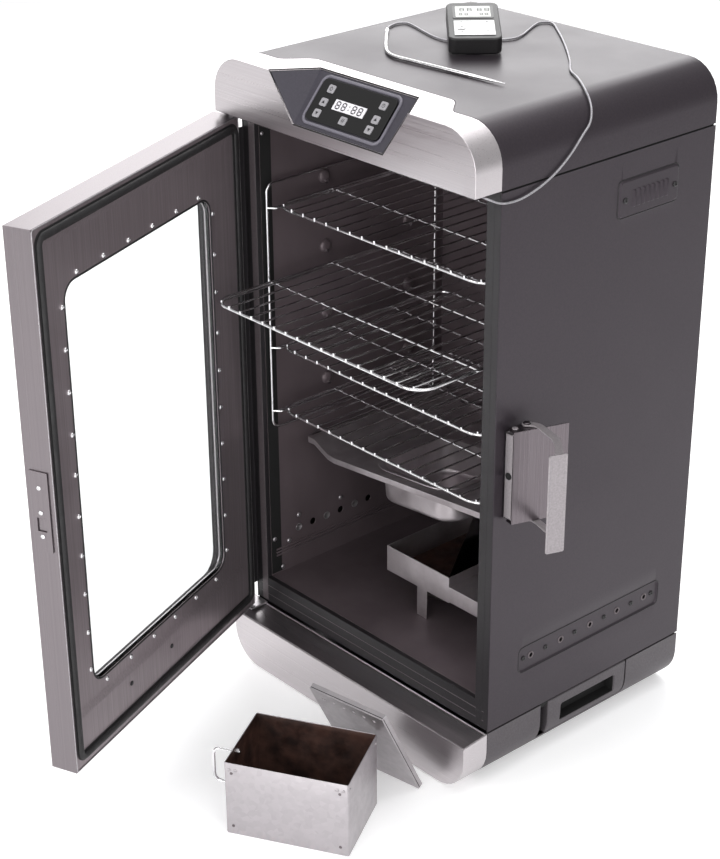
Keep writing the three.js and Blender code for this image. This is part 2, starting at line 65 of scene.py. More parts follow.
class Mat:
    """A small node-graph builder around one Principled shader."""

    def __init__(self, name, rough=0.5, metal=0.0, **sockets):
        self.m = bpy.data.materials.new(name)
        self.m.use_nodes = True
        self.t = self.m.node_tree
        self.t.nodes.clear()
        out = self.t.nodes.new("ShaderNodeOutputMaterial")
        self.b = self.t.nodes.new("ShaderNodeBsdfPrincipled")
        self.t.links.new(self.b.outputs[0], out.inputs[0])
        self.b.inputs["Roughness"].default_value = rough
        self.b.inputs["Metallic"].default_value = metal
        for k, v in sockets.items():
            self.b.inputs[k.replace("_", " ")].default_value = v
        self.tc = self.t.nodes.new("ShaderNodeTexCoord")
        self.h = None

    def noise(self, scale, detail=3.0, stretch=(1, 1, 1), rough=0.55):
        mp = self.t.nodes.new("ShaderNodeMapping")
        mp.inputs["Scale"].default_value = stretch
        self.t.links.new(self.tc.outputs["Object"], mp.inputs["Vector"])
        n = self.t.nodes.new("ShaderNodeTexNoise")
        n.inputs["Scale"].default_value = scale
        n.inputs["Detail"].default_value = detail
        n.inputs["Roughness"].default_value = rough
        self.t.links.new(mp.outputs[0], n.inputs["Vector"])
        return n.outputs["Fac"]

    def voronoi(self, scale, stretch=(1, 1, 1)):
        mp = self.t.nodes.new("ShaderNodeMapping")
        mp.inputs["Scale"].default_value = stretch
        self.t.links.new(self.tc.outputs["Object"], mp.inputs["Vector"])
        n = self.t.nodes.new("ShaderNodeTexVoronoi")
        n.inputs["Scale"].default_value = scale
        self.t.links.new(mp.outputs[0], n.inputs["Vector"])
        return n.outputs["Color"], n.outputs["Distance"]

    def ramp(self, fac, lo, hi, a, b):
        """fac from lo..hi to a..b"""
        n = self.t.nodes.new("ShaderNodeMapRange")
        n.inputs["From Min"].default_value, n.inputs["From Max"].default_value = lo, hi
        n.inputs["To Min"].default_value, n.inputs["To Max"].default_value = a, b
        self.t.links.new(fac, n.inputs["Value"])
        return n.outputs[0]

    def mix(self, fac, c1, c2):
        n = self.t.nodes.new("ShaderNodeMix")
        n.data_type = "RGBA"
        self.t.links.new(fac, n.inputs["Factor"])
        for i, c in ((6, c1), (7, c2)):
            if isinstance(c, tuple):
                n.inputs[i].default_value = c
            else:
                self.t.links.new(c, n.inputs[i])
        return n.outputs[2]

    def color(self, sock):
        self.t.links.new(sock, self.b.inputs["Base Color"])
        return self

    def roughness(self, sock):
        self.t.links.new(sock, self.b.inputs["Roughness"])
        return self

    def bump(self, sock, strength, distance):
        n = self.t.nodes.new("ShaderNodeBump")
        n.inputs["Strength"].default_value = strength
        n.inputs["Distance"].default_value = distance
        self.t.links.new(sock, n.inputs["Height"])
        if self.h is not None:
            self.t.links.new(self.h, n.inputs["Normal"])
        self.h = n.outputs[0]
        self.t.links.new(self.h, self.b.inputs["Normal"])
        return self

    def axis(self, which):
        n = self.t.nodes.new("ShaderNodeSeparateXYZ")
        self.t.links.new(self.tc.outputs["Object"], n.inputs[0])
        return n.outputs[which]


def paint(name, c1, c2, rough, metal, peel=0.12, **kw):
    m = Mat(name, rough, metal, **kw)
    m.color(m.mix(m.ramp(m.noise(420, 4), 0.3, 0.7, 0, 1), lin(c1), lin(c2)))
    m.roughness(m.ramp(m.noise(7, 3), 0.3, 0.7, rough - 0.04, rough + 0.05))
    m.bump(m.noise(1300, 2), peel, 0.0002)
    return m.m


def brushed(name, c1, c2, stretch, r0, r1, bump=0.12):
    m = Mat(name, 0.3, 1.0)
    st = m.noise(1.0, 5, stretch, 0.65)
    m.color(m.mix(m.ramp(st, 0.3, 0.7, 0, 1), lin(c1), lin(c2)))
    m.roughness(m.ramp(m.noise(1.0, 4, tuple(0.6 * x for x in stretch), 0.6), 0.3, 0.7, r0, r1))
    m.bump(st, bump, 0.0001)
    return m.m


MAT = {}
MAT["shell"] = paint("shell_charcoal", "#332d33", "#3a3339", 0.36, 0.55, 0.04)
MAT["dark"] = paint("dark_satin", "#1b191b", "#242124", 0.45, 0.1, 0.15)
MAT["base"] = paint("base_charcoal", "#4a4549", "#565155", 0.5, 0.25, 0.2)
MAT["steel_x"] = brushed("brushed_steel_bezel", "#bfb9bc", "#cdc8ca", (2, 1500, 1500), 0.26, 0.38, 0.05)
MAT["steel_z"] = brushed("brushed_steel_door", "#767073", "#827b7e", (1500, 1500, 2), 0.26, 0.38, 0.05)
# catch-plate steel, darker than the rest of the latch: its base colour carries a painted dark reflection
MAT["catch_steel_dark_reflection"] = brushed("catch_steel_painted_reflection", "#676064", "#7a7377", (1100, 1100, 5), 0.24, 0.36, 0.012)
MAT["trim"] = paint("bright_trim", "#9b979a", "#b4b0b3", 0.3, 0.8, 0.05)
MAT["black"] = paint("black_moulded", "#131213", "#1c1a1c", 0.42, 0.0, 0.35)
MAT["stile"] = paint("stile_dark", "#5c5457", "#686063", 0.4, 0.3, 0.05)
MAT["rim"] = paint("rim_grey", "#66636c", "#726f79", 0.35, 0.0, 0.05)
MAT["latch_satin"] = paint("latch_satin", "#8b8588", "#9c9699", 0.4, 0.3, 0.03)
# flat near-black used as painted shade in seams, holes, recesses and gaps, standing in for their shadow; also the dark
# joint line of the chip-box lid
MAT["gap"] = paint("shade_and_joint_black", "#040404", "#080708", 0.8, 0.0, 0.1)

m = Mat("rubber_gasket", 0.62)
m.color(m.mix(m.ramp(m.noise(500, 4), 0.3, 0.7, 0, 1), lin("#151415"), lin("#211f21")))
m.roughness(m.ramp(m.noise(60, 3), 0.3, 0.7, 0.5, 0.72)).bump(m.noise(1800, 3), 0.25, 0.0002)
MAT["rubber"] = m.m

m = Mat("chamber_enamel", 0.4, 0.35)   # dark satin walls with a thin smoke film
m.color(m.mix(m.ramp(m.noise(9, 5, (1, 1, 0.5)), 0.35, 0.7, 0, 1), lin("#5b5154"), lin("#6b6064")))
m.roughness(m.ramp(m.noise(16, 4), 0.3, 0.7, 0.34, 0.5)).bump(m.noise(900, 3), 0.12, 0.0002)
MAT["enamel"] = m.m

m = Mat("door_liner_satin", 0.36, 0.7)
m.color(m.mix(m.ramp(m.noise(1.0, 5, (500, 500, 6)), 0.3, 0.7, 0, 1), lin("#857b7f"), lin("#968c90")))
m.roughness(m.ramp(m.noise(12, 4), 0.3, 0.7, 0.30, 0.44)).bump(m.noise(1.0, 4, (700, 700, 12)), 0.08, 0.0001)
MAT["door_liner"] = m.m

m = Mat("chrome_wire", 0.14, 1.0)
m.color(m.mix(m.ramp(m.noise(90, 4), 0.35, 0.7, 0, 1), lin("#d4d3d5"), lin("#efeeef")))
m.roughness(m.ramp(m.noise(140, 4), 0.3, 0.75, 0.10, 0.24)).bump(m.noise(1500, 3), 0.08, 0.0001)
MAT["chrome"] = m.m

m = Mat("galvanised_sheet", 0.4, 0.9)
col, dist = m.voronoi(150)
m.color(m.mix(m.ramp(col, 0.0, 1.0, 0, 1), lin("#aaa5a8"), lin("#b4afb2")))
m.roughness(m.ramp(m.noise(45, 4), 0.3, 0.7, 0.34, 0.5)).bump(m.noise(600, 3), 0.08, 0.0002)
MAT["galv"] = m.m

m = Mat("tray_sheet", 0.4, 0.9)
m.color(m.mix(m.ramp(m.noise(24, 5), 0.35, 0.68, 0, 1), lin("#b5adb0"), lin("#d0c9cc")))
m.roughness(m.ramp(m.noise(60, 4), 0.3, 0.7, 0.32, 0.5)).bump(m.noise(500, 3), 0.1, 0.0002)
MAT["tray"] = m.m

m = Mat("smoked_interior", 0.55, 0.35)   # smoke-browned inside of the chip box
m.color(m.mix(m.ramp(m.noise(38, 6), 0.35, 0.68, 0, 1), lin("#241613"), lin("#523830")))
m.roughness(m.ramp(m.noise(80, 5), 0.3, 0.7, 0.42, 0.7)).bump(m.noise(420, 4), 0.25, 0.0004)
MAT["smoked"] = m.m

MAT["grey"] = paint("grey_moulded", "#34313a", "#3c3942", 0.42, 0.0, 0.08)
MAT["gloss"] = paint("membrane_gloss", "#030203", "#050405", 0.3, 0.0, 0.03)
MAT["lens"] = paint("lens_gloss", "#dcd9df", "#e8e5ea", 0.2, 0.0, 0.02)
MAT["key"] = paint("key_plastic", "#8f8d91", "#9b999d", 0.4, 0.0, 0.12)
MAT["keymark"] = paint("key_mark", "#18171a", "#222124", 0.5, 0.0, 0.1)
MAT["white"] = paint("white_silicone", "#e6e6e6", "#f2f2f2", 0.5, 0.0, 0.2)
MAT["lcd"] = paint("lcd_face", "#b9bcb8", "#c6c9c4", 0.22, 0.0, 0.03)
MAT["board"] = paint("board_green", "#1c5432", "#25683f", 0.5, 0.0, 0.2)
MAT["wool"] = paint("mineral_wool", "#cfc69c", "#e2dab6", 0.95, 0.0, 0.8)

m = Mat("lit_segments", 0.4, 0.0)
m.color(m.mix(m.ramp(m.noise(300, 2), 0.3, 0.7, 0, 1), lin("#e8edf2"), lin("#ffffff")))
m.b.inputs["Emission Color"].default_value = (0.86, 0.92, 1.0, 1)
m.b.inputs["Emission Strength"].default_value = 0.7
MAT["segment"] = m.m

m = Mat("window_glass_clear", 0.03, 0.0, Transmission_Weight=1.0, IOR=1.45)
m.color(m.mix(m.ramp(m.noise(10, 3), 0.3, 0.7, 0, 1), (0.93, 0.95, 0.95, 1), (0.97, 0.98, 0.98, 1)))
m.roughness(m.ramp(m.noise(25, 4), 0.3, 0.8, 0.01, 0.06))
MAT["glass"] = m.m

m = Mat("braided_lead", 0.4, 0.75)      # woven steel sleeve: two crossing fine waves
m.color(m.mix(m.ramp(m.noise(1900, 2), 0.35, 0.65, 0, 1), lin("#77747a"), lin("#c8c6ca")))
m.bump(m.noise(2600, 1), 0.6, 0.0003)
MAT["lead"] = m.m

m = Mat("heater_sheath", 0.5, 0.6)
m.color(m.mix(m.ramp(m.noise(60, 4), 0.3, 0.7, 0, 1), lin("#2a2628"), lin("#4a4240")))
m.bump(m.noise(700, 3), 0.2, 0.0002)
MAT["heater"] = m.m


# ------------------------------------------------------------------ mesh helpers, all in millimetres
def rr(x0, x1, y0, y1, r, n=6):
    pts = []
    for cx, cy, a0 in ((x1 - r, y0 + r, -90), (x1 - r, y1 - r, 0), (x0 + r, y1 - r, 90), (x0 + r, y0 + r, 180)):
        for i in range(n + 1):
            t = rad(a0 + 90 * i / n)
            pts.append((cx + r * cos(t), cy + r * sin(t)))
    return pts


def catmull(P, per=5):
    """Centripetal Catmull-Rom through P."""
    P = [Vector(p) for p in P]
    pts = [P[0] * 2 - P[1]] + P + [P[-1] * 2 - P[-2]]
    out = []
    for i in range(1, len(pts) - 2):
        p0, p1, p2, p3 = pts[i - 1:i + 3]
        t0 = 0.0
        t1 = t0 + max((p1 - p0).length, 1e-6) ** 0.5
        t2 = t1 + max((p2 - p1).length, 1e-6) ** 0.5
        t3 = t2 + max((p3 - p2).length, 1e-6) ** 0.5
        for k in range(per):
            t = t1 + (t2 - t1) * k / per
            A1 = p0 * ((t1 - t) / (t1 - t0)) + p1 * ((t - t0) / (t1 - t0))
            A2 = p1 * ((t2 - t) / (t2 - t1)) + p2 * ((t - t1) / (t2 - t1))
            A3 = p2 * ((t3 - t) / (t3 - t2)) + p3 * ((t - t2) / (t3 - t2))
            B1 = A1 * ((t2 - t) / (t2 - t0)) + A2 * ((t - t0) / (t2 - t0))
            B2 = A2 * ((t3 - t) / (t3 - t1)) + A3 * ((t - t1) / (t3 - t1))
            out.append(B1 * ((t2 - t) / (t2 - t1)) + B2 * ((t - t1) / (t2 - t1)))
    out.append(P[-1])
    return out


def fillet(P, R, n=5):
    """Polyline with its inner corners rounded to radius R."""
    P = [Vector(p) for p in P]
    out = [P[0]]
    for i in range(1, len(P) - 1):
        A, B, C = P[i - 1], P[i], P[i + 1]
        d1, d2 = (A - B), (C - B)
        l1, l2 = d1.length, d2.length
        d1.normalize(), d2.normalize()
        ang = d1.angle(d2)
        t = min(R / math.tan(ang / 2), l1 * 0.49, l2 * 0.49)
        s0, s1 = B + d1 * t, B + d2 * t
        for k in range(n + 1):
            q = k / n
            out.append((s0 * (1 - q) + B * q) * (1 - q) + (B * (1 - q) + s1 * q) * q)
    out.append(P[-1])
    return out


class MB:
    def __init__(self):
        self.v, self.f = [], []

    def put(self, v, f, M=None):
        o = len(self.v)
        for p in v:
            p = Vector(p)
            self.v.append(M @ p if M is not None else p)
        self.f += [[i + o for i in q] for q in f]
        return self

    def box(self, x0, x1, y0, y1, z0, z1, M=None):
        v = [(x0, y0, z0), (x1, y0, z0), (x1, y1, z0), (x0, y1, z0), (x0, y0, z1), (x1, y0, z1), (x1, y1, z1), (x0, y1, z1)]
        return self.put(v, [(3, 2, 1, 0), (4, 5, 6, 7), (0, 1, 5, 4), (1, 2, 6, 5), (2, 3, 7, 6), (3, 0, 4, 7)], M)

    def prism(self, outline, a, b, axis="z", M=None):
        n = len(outline)
        def P(p, h):
            return {"z": (p[0], p[1], h), "y": (p[0], h, p[1]), "x": (h, p[0], p[1])}[axis]
        v = [P(p, a) for p in outline] + [P(p, b) for p in outline]
        f = [list(range(n))[::-1], list(range(n, 2 * n))] + [(i, (i + 1) % n, (i + 1) % n + n, i + n) for i in range(n)]
        return self.put(v, f, M)

    def tube(self, pts, r, sides=10, closed=False, M=None, cap=True):
        pts = [Vector(p) for p in pts]
        n = len(pts)
        rs = r if isinstance(r, (list, tuple)) else [r] * n
        tang = []
        for i in range(n):
            p0 = pts[(i - 1) % n] if closed or i else pts[0]
            p1 = pts[(i + 1) % n] if closed or i < n - 1 else pts[-1]
            tang.append((p1 - p0).normalized())
        up = Vector((0, 0, 1)) if abs(tang[0].z) < 0.9 else Vector((0, 1, 0))
        nrm = (up - tang[0] * up.dot(tang[0])).normalized()
        frames = [nrm]
        for i in range(1, n):
            ax = tang[i - 1].cross(tang[i])
            if ax.length > 1e-8:
                nrm = Matrix.Rotation(tang[i - 1].angle(tang[i]), 3, ax.normalized()) @ nrm
            nrm = (nrm - tang[i] * nrm.dot(tang[i])).normalized()
            frames.append(nrm)
        twist = 0.0
        if closed:
            ax = tang[-1].cross(tang[0])
            last = nrm
            if ax.length > 1e-8:
                last = Matrix.Rotation(tang[-1].angle(tang[0]), 3, ax.normalized()) @ nrm
            c = max(-1, min(1, last.dot(frames[0])))
            twist = math.acos(c) * (1 if last.cross(frames[0]).dot(tang[0]) > 0 else -1)
        v, f = [], []
        for i in range(n):
            A = frames[i]
            B = tang[i].cross(A)
            for k in range(sides):
                t = 2 * pi * k / sides + twist * i / n
                v.append(pts[i] + (A * cos(t) + B * sin(t)) * rs[i])
        m = n if closed else n - 1
        for i in range(m):
            j = (i + 1) % n
            for k in range(sides):
                l = (k + 1) % sides
                f.append((i * sides + k, i * sides + l, j * sides + l, j * sides + k))
        if not closed and cap:
            f.append(list(range(sides))[::-1])
            f.append(list(range((n - 1) * sides, n * sides)))
        return self.put(v, f, M)

    def sweep(self, pts, sec, normal, closed=True, M=None):
        """Section (side, normal) along a planar path."""
        pts = [Vector(p) for p in pts]
        n, k = len(pts), len(sec)
        nn = Vector(normal).normalized()
        v, f = [], []
        for i in range(n):
            p0 = pts[(i - 1) % n] if closed or i else pts[0]
            p1 = pts[(i + 1) % n] if closed or i < n - 1 else pts[-1]
            a_ = (pts[i] - p0).normalized() if (pts[i] - p0).length > 1e-9 else None
            b_ = (p1 - pts[i]).normalized() if (p1 - pts[i]).length > 1e-9 else None
            a_, b_ = a_ or b_, b_ or a_
            t = (a_ + b_).normalized()
            side = t.cross(nn).normalized()
            k_ = 1 / max(0.3, side.dot(a_.cross(nn).normalized()))
            for p, q in sec:
                v.append(pts[i] + side * (p * k_) + nn * q)
        for i in range(n if closed else n - 1):
            j = (i + 1) % n
            for s in range(k):
                l = (s + 1) % k
                f.append((i * k + s, i * k + l, j * k + l, j * k + s))
        if not closed:
            f.append(list(range(k))[::-1])
            f.append(list(range((n - 1) * k, n * k)))
        return self.put(v, f, M)

    def lathe(self, prof, sides=32, M=None, wave=None):
        """prof [(r, h), ...] from axis to axis about local Z. wave(k, theta) scales the radius of ring k."""
        v, f, rings = [], [], []
        for k, (r_, h) in enumerate(prof):
            if r_ < 1e-6:
                rings.append([len(v)])
                v.append((0, 0, h))
            else:
                rings.append(list(range(len(v), len(v) + sides)))
                for i in range(sides):
                    t = 2 * pi * i / sides
                    q = r_ * (wave(k, t) if wave else 1)
                    v.append((q * cos(t), q * sin(t), h))
        for A, B in zip(rings, rings[1:]):
            for i in range(sides):
                j = (i + 1) % sides
                if len(A) == 1:
                    f.append((A[0], B[i], B[j]))
                elif len(B) == 1:
                    f.append((A[i], B[0], A[j]))
                else:
                    f.append((A[i], B[i], B[j], A[j]))
        return self.put(v, f, M)

    def screw(self, c, n, r=3.2, h=1.9, sides=20, cross=True, M=None):
        """Domed head with a cross recess, sitting on point c and facing n."""
        q = Vector(n).to_track_quat("Z", "Y").to_matrix().to_4x4()
        T = Matrix.Translation(Vector(c)) @ q @ Matrix.Rotation(random.random() * 1.5, 4, "Z")
        if M is not None:
            T = M @ T
        if cross:
            prof = [(0, -0.4), (r, -0.4), (r, 0.25 * h), (0.93 * r, 0.55 * h), (0.72 * r, 0.85 * h), (0.42 * r, h), (0.36 * r, 0.92 * h), (0.24 * r, 0.5 * h), (0, 0.45 * h)]
            wave = lambda k, t: (1 + 0.42 * cos(4 * t)) if k in (6, 7) else 1
        else:
            prof = [(0, -0.4), (r, -0.4), (r, 0.2 * h), (0.92 * r, 0.55 * h), (0.7 * r, 0.85 * h), (0.38 * r, 0.98 * h), (0, h)]
            wave = None
        return self.lathe(prof, sides, T, wave)

    def make(self, name, mat, body, slot=None, replaces=(), bevel=0, seg=2, angle=35, smooth=True, M=None, fix=True):
        me = bpy.data.meshes.new(name)
        vs = [(M @ p if M is not None else p) * S for p in self.v]
        me.from_pydata([tuple(p) for p in vs], [], self.f)
        me.validate()
        if fix:
            bm = bmesh.new()
            bm.from_mesh(me)
            bmesh.ops.recalc_face_normals(bm, faces=bm.faces)
            bm.to_mesh(me)
            bm.free()
        o = bpy.data.objects.new(name, me)
        bpy.context.scene.collection.objects.link(o)
        me.materials.append(MAT[mat])
        finish_surface(o, bevel, seg, angle, smooth)
        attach(o, body)
        if replaces:
            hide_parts(*replaces)
        return o


def finish_surface(o, bevel, seg=2, angle=35, smooth=True):
    me = o.data
    me.polygons.foreach_set("use_smooth", [smooth] * len(me.polygons))
    if bevel:
        b = o.modifiers.new("bevel", "BEVEL")
        b.width, b.segments, b.limit_method, b.angle_limit = bevel * S, seg, "ANGLE", rad(angle)
        b.use_clamp_overlap = False
        b.miter_outer = "MITER_ARC"
        w = o.modifiers.new("normals", "WEIGHTED_NORMAL")
        w.mode, w.weight, w.keep_sharp = "FACE_AREA", 50, False
    elif smooth:
        me.set_sharp_from_angle(angle=rad(angle))


def tidy(node, mat, bevel=0.5, seg=2, angle=35):
    """A carried-over CAD node: welded, softly rounded edges, procedural material."""
    o = N[node]
    me = o.data
    if "custom_normal" in me.attributes:
        me.attributes.remove(me.attributes["custom_normal"])
    me.materials.clear()
    me.materials.append(MAT[mat])
    me.polygons.foreach_set("material_index", [0] * len(me.polygons))
    w = o.modifiers.new("weld", "WELD")
    w.merge_threshold = 1e-5
    dc = o.modifiers.new("planar", "DECIMATE")
    dc.decimate_type, dc.angle_limit = "DISSOLVE", rad(0.4)
    finish_surface(o, bevel, seg, angle)
    if not bevel:
        wn = o.modifiers.new("normals", "WEIGHTED_NORMAL")
        wn.keep_sharp = False
    return o


def T(x, y, z):
    return Matrix.Translation(Vector((x, y, z)))


def R(deg, ax):
    return Matrix.Rotation(rad(deg), 4, ax)


PIVOT = (-223, -177.7)
DOOR = T(PIVOT[0], PIVOT[1], 0) @ R(-67.8, "Z") @ T(-PIVOT[0], -PIVOT[1], 0)
PANEL = T(0, -171.5, 812) @ R(48.82, "X")
BOX = T(83.3, -455.1, 0) @ R(30.35, "Z")
LID = T(62.6, -242.4, 0.3) @ R(9.6, "Z") @ R(27.56, "X")
REM = T(2.5, 18.6, 840.3) @ R(48, "Z")
REMT = REM @ R(6.5, "X")

# ------------------------------------------------------------------ probe lead: the free cord
PROBE = [(116, -47, 842.5), (35.5, -54, 842.5), (-30, -58.5, 842.5), (-53, -59.3, 842.5), (-70, -53.4, 842.5), (-85, -42.5, 842.5), (-101, -28.5, 842.5), (-127.5, -3.5, 842.5), (-150.9, 19.5, 842.5)]
LEAD = [
    (-151.3, 19.9, 842.3), (-157, 26.6, 841.7), (-161.4, 36.3, 841.6), (-163.6, 48.7, 841.6), (-158.5, 57.3, 841.6), (-147, 56, 841.6), (-109.7, 43.5, 841.6), (-84.4, 36.2, 841.6), (-64.5, 36.5, 841.6), (-42, 57, 841.6), (-21, 84, 841.6),
    (-14, 101, 841.6), (-18.3, 118.5, 841.6), (-29.9, 141.8, 841.6), (-40.4, 163.5, 841.6), (-43.5, 177, 841.6), (-38, 184.8, 841.6), (-27, 182, 841.6),
    (-7.8, 167.7, 841.6), (25, 141.6, 841.6), (65.8, 106.6, 841.6), (100.6, 74.4, 841.6), (130, 44.5, 841.7), (151.8, 31, 842), (174, 15, 842),
    (190, 3.5, 840.2), (203, -4, 834.6), (212.5, -10.5, 826.5), (220, -20, 815.7), (223.9, -36, 805), (224.4, -54.7, 787.4), (224.7, -76, 773),
    (224.9, -100.5, 762.4), (225.1, -128, 756), (225.3, -150, 756), (225.3, -164, 759.2), (224.6, -173, 763.3),
    (221, -178.5, 766.3), (213, -178.5, 766.6), (203, -176.5, 766.6), (192, -171.5, 766.6), (186.5, -166.5, 766.6), (185, -161.3, 766.6)]
lead_pts = [p * S for p in catmull(LEAD, 6)]
cd = bpy.data.curves.new("lead_curve", "CURVE")
cd.dimensions, cd.bevel_depth, cd.bevel_resolution, cd.use_fill_caps = "3D", 0.00125, 3, True
sp = cd.splines.new("POLY")
sp.points.add(len(lead_pts) - 1)
for p, q in zip(sp.points, lead_pts):
    p.co = (q.x, q.y, q.z, 1)
cd.materials.append(MAT["lead"])
lead = bpy.data.objects.new("lead_braided", cd)
bpy.context.scene.collection.objects.link(lead)
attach(lead, "cabinet")
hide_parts("probe_lead")

pp = catmull(PROBE, 8)
rs = [2.2] * len(pp)
for i, k in enumerate((0.35, 0.9, 1.35, 1.7, 1.95, 2.1)):
    rs[i] = k
g = MB().tube(pp, rs, 16)
tail = [pp[-1] + (pp[-5] - pp[-1]) * k for k in (1.0, 0.8, 0.4, 0.1, 0.0)]
g.tube(tail, [2.3, 2.75, 2.75, 2.6, 1.7], 16)
g.make("probe_shaft", "chrome", "cabinet", "chrome_wire", ("probe_rod",))

# ------------------------------------------------------------------ carried-over cabinet nodes
tidy("hood", "shell", 0.45)
tidy("top_bezel", "steel_x", 0.7, 3)
tidy("bottom_bezel", "steel_x", 0.6)
tidy("back_panel", "shell", 0.5)
tidy("base_shell", "base", 0.5)
tidy("base_handle_left", "base", 2.2, 3)
tidy("base_handle_right", "base", 2.2, 3)
for n_ in ("foot_front_left", "foot_front_right", "foot_rear_left", "foot_rear_right"):
    tidy(n_, "rubber", 0.4)
tidy("front_frame", "dark", 0.6)
tidy("inner_liner", "enamel", 0.5)
tidy("insulation_jacket", "wool", 0)
tidy("heater_element", "heater", 0)
tidy("power_inlet", "black", 0.8)
tidy("control_housing", "grey", 0.8, 3)
tidy("display_membrane", "gloss", 0.3)
tidy("display_lens", "lens", 0.3)
tidy("control_board", "board", 0.2)
for i in range(1, 8):
    tidy("panel_key_%d" % i, "key", 0.35, 3)
tidy("door_frame", "steel_z", 0.6)
tidy("door_liner", "door_liner", 0.6, 3)
tidy("window_frame", "dark", 0.5)
tidy("window_glass", "glass", 0.4)
tidy("striker_plate", "steel_z", 0.3)
for n_ in ("hinge_knuckle_upper", "hinge_knuckle_lower", "upper_hinge_bracket", "lower_hinge_bracket"):
    tidy(n_, "trim", 0.5)
tidy("chip_box_lid", "galv", 0.35)
tidy("drip_pan", "tray", 0.4)
tidy("chip_tray", "tray", 0.4)
tidy("remote_housing", "black", 2.4, 4, 30)
tidy("remote_keypad", "white", 0.35)
tidy("remote_clip", "black", 0.8)
tidy("probe_socket", "chrome", 0.3)

# ------------------------------------------------------------------ side panels: pressed vents as one sheet
SLOT_Y = [54 + 8 * i for i in range(8)]
HOLES = [-82, -29, 24, 74, 125]
SCREWS_LOW = [-95, -56, -3.5, 50, 100.6, 139]


def sdf_rr(y, z, y0, y1, z0, z1, r_):
    cy, cz = (y0 + y1) / 2, (z0 + z1) / 2
    qy, qz = abs(y - cy) - (y1 - y0) / 2 + r_, abs(z - cz) - (z1 - z0) / 2 + r_
    return math.hypot(max(qy, 0), max(qz, 0)) + min(max(qy, qz), 0) - r_


def sstep(t):
    t = max(0.0, min(1.0, t))
    return t * t * (3 - 2 * t)


def relief(y, z):
    """How far the sheet is pressed out (+) or in (-), in mm."""
    h = 0.0
    dd = sdf_rr(y, z, 31, 133, 691, 736, 6)
    h += 2.2 * sstep(-dd / 2.0)
    dd = sdf_rr(y, z, -105, 150, 140, 175, 7)
    h -= 2.0 * sstep(-dd / 2.0)
    return h


def lines(marks, lo, hi, coarse, fine_zones):
    out = set([lo, hi])
    for m_ in marks:
        out.add(round(m_, 4))
    t = lo
    while t < hi:
        out.add(round(t, 4))
        t += coarse
    for z0, z1, st in fine_zones:
        k = z0
        while k <= z1 + 1e-6:
            out.add(round(k, 4))
            k += st
    out = sorted(out)
    keep = [out[0]]
    marks = {round(m_, 4) for m_ in marks} | {lo, hi}
    for v_ in out[1:]:
        if v_ - keep[-1] < 0.35:
            if v_ in marks:
                keep[-1] = v_ if keep[-1] not in marks else keep[-1]
                if keep[-1] != v_:
                    keep.append(v_)
            continue
        keep.append(v_)
    return keep


hole_marks = [h_ + k for h_ in HOLES for k in (-5, -2.5, 0, 2.5, 5)]
slot_marks = [y_ + k for y_ in SLOT_Y for k in (-1.6, 1.6)]
YL = [y_ for y_ in lines(hole_marks + slot_marks, -155.7, 195.7, 14, [(-105.5, -98, 0.75), (143, 150.5, 0.75), (30, 38, 0.75), (126.2, 133.8, 0.75)])]
# no extra line may fall inside a hole's patch
YL = [y_ for y_ in YL if all(not (h_ - 5 < y_ < h_ + 5) or min(abs(y_ - h_ - k) for k in (-2.5, 0, 2.5)) < 1e-3 for h_ in HOLES)]
ZL = lines([153, 155.5, 158, 160.5, 163, 702, 722], 78.0, 766.8, 40, [(139.5, 148, 0.75), (167, 175.5, 0.75), (690.5, 698.5, 0.75), (728.5, 736.5, 0.75)])
ZL = [z_ for z_ in ZL if not (153 < z_ < 163) or min(abs(z_ - k) for k in (155.5, 158, 160.5)) < 1e-3]


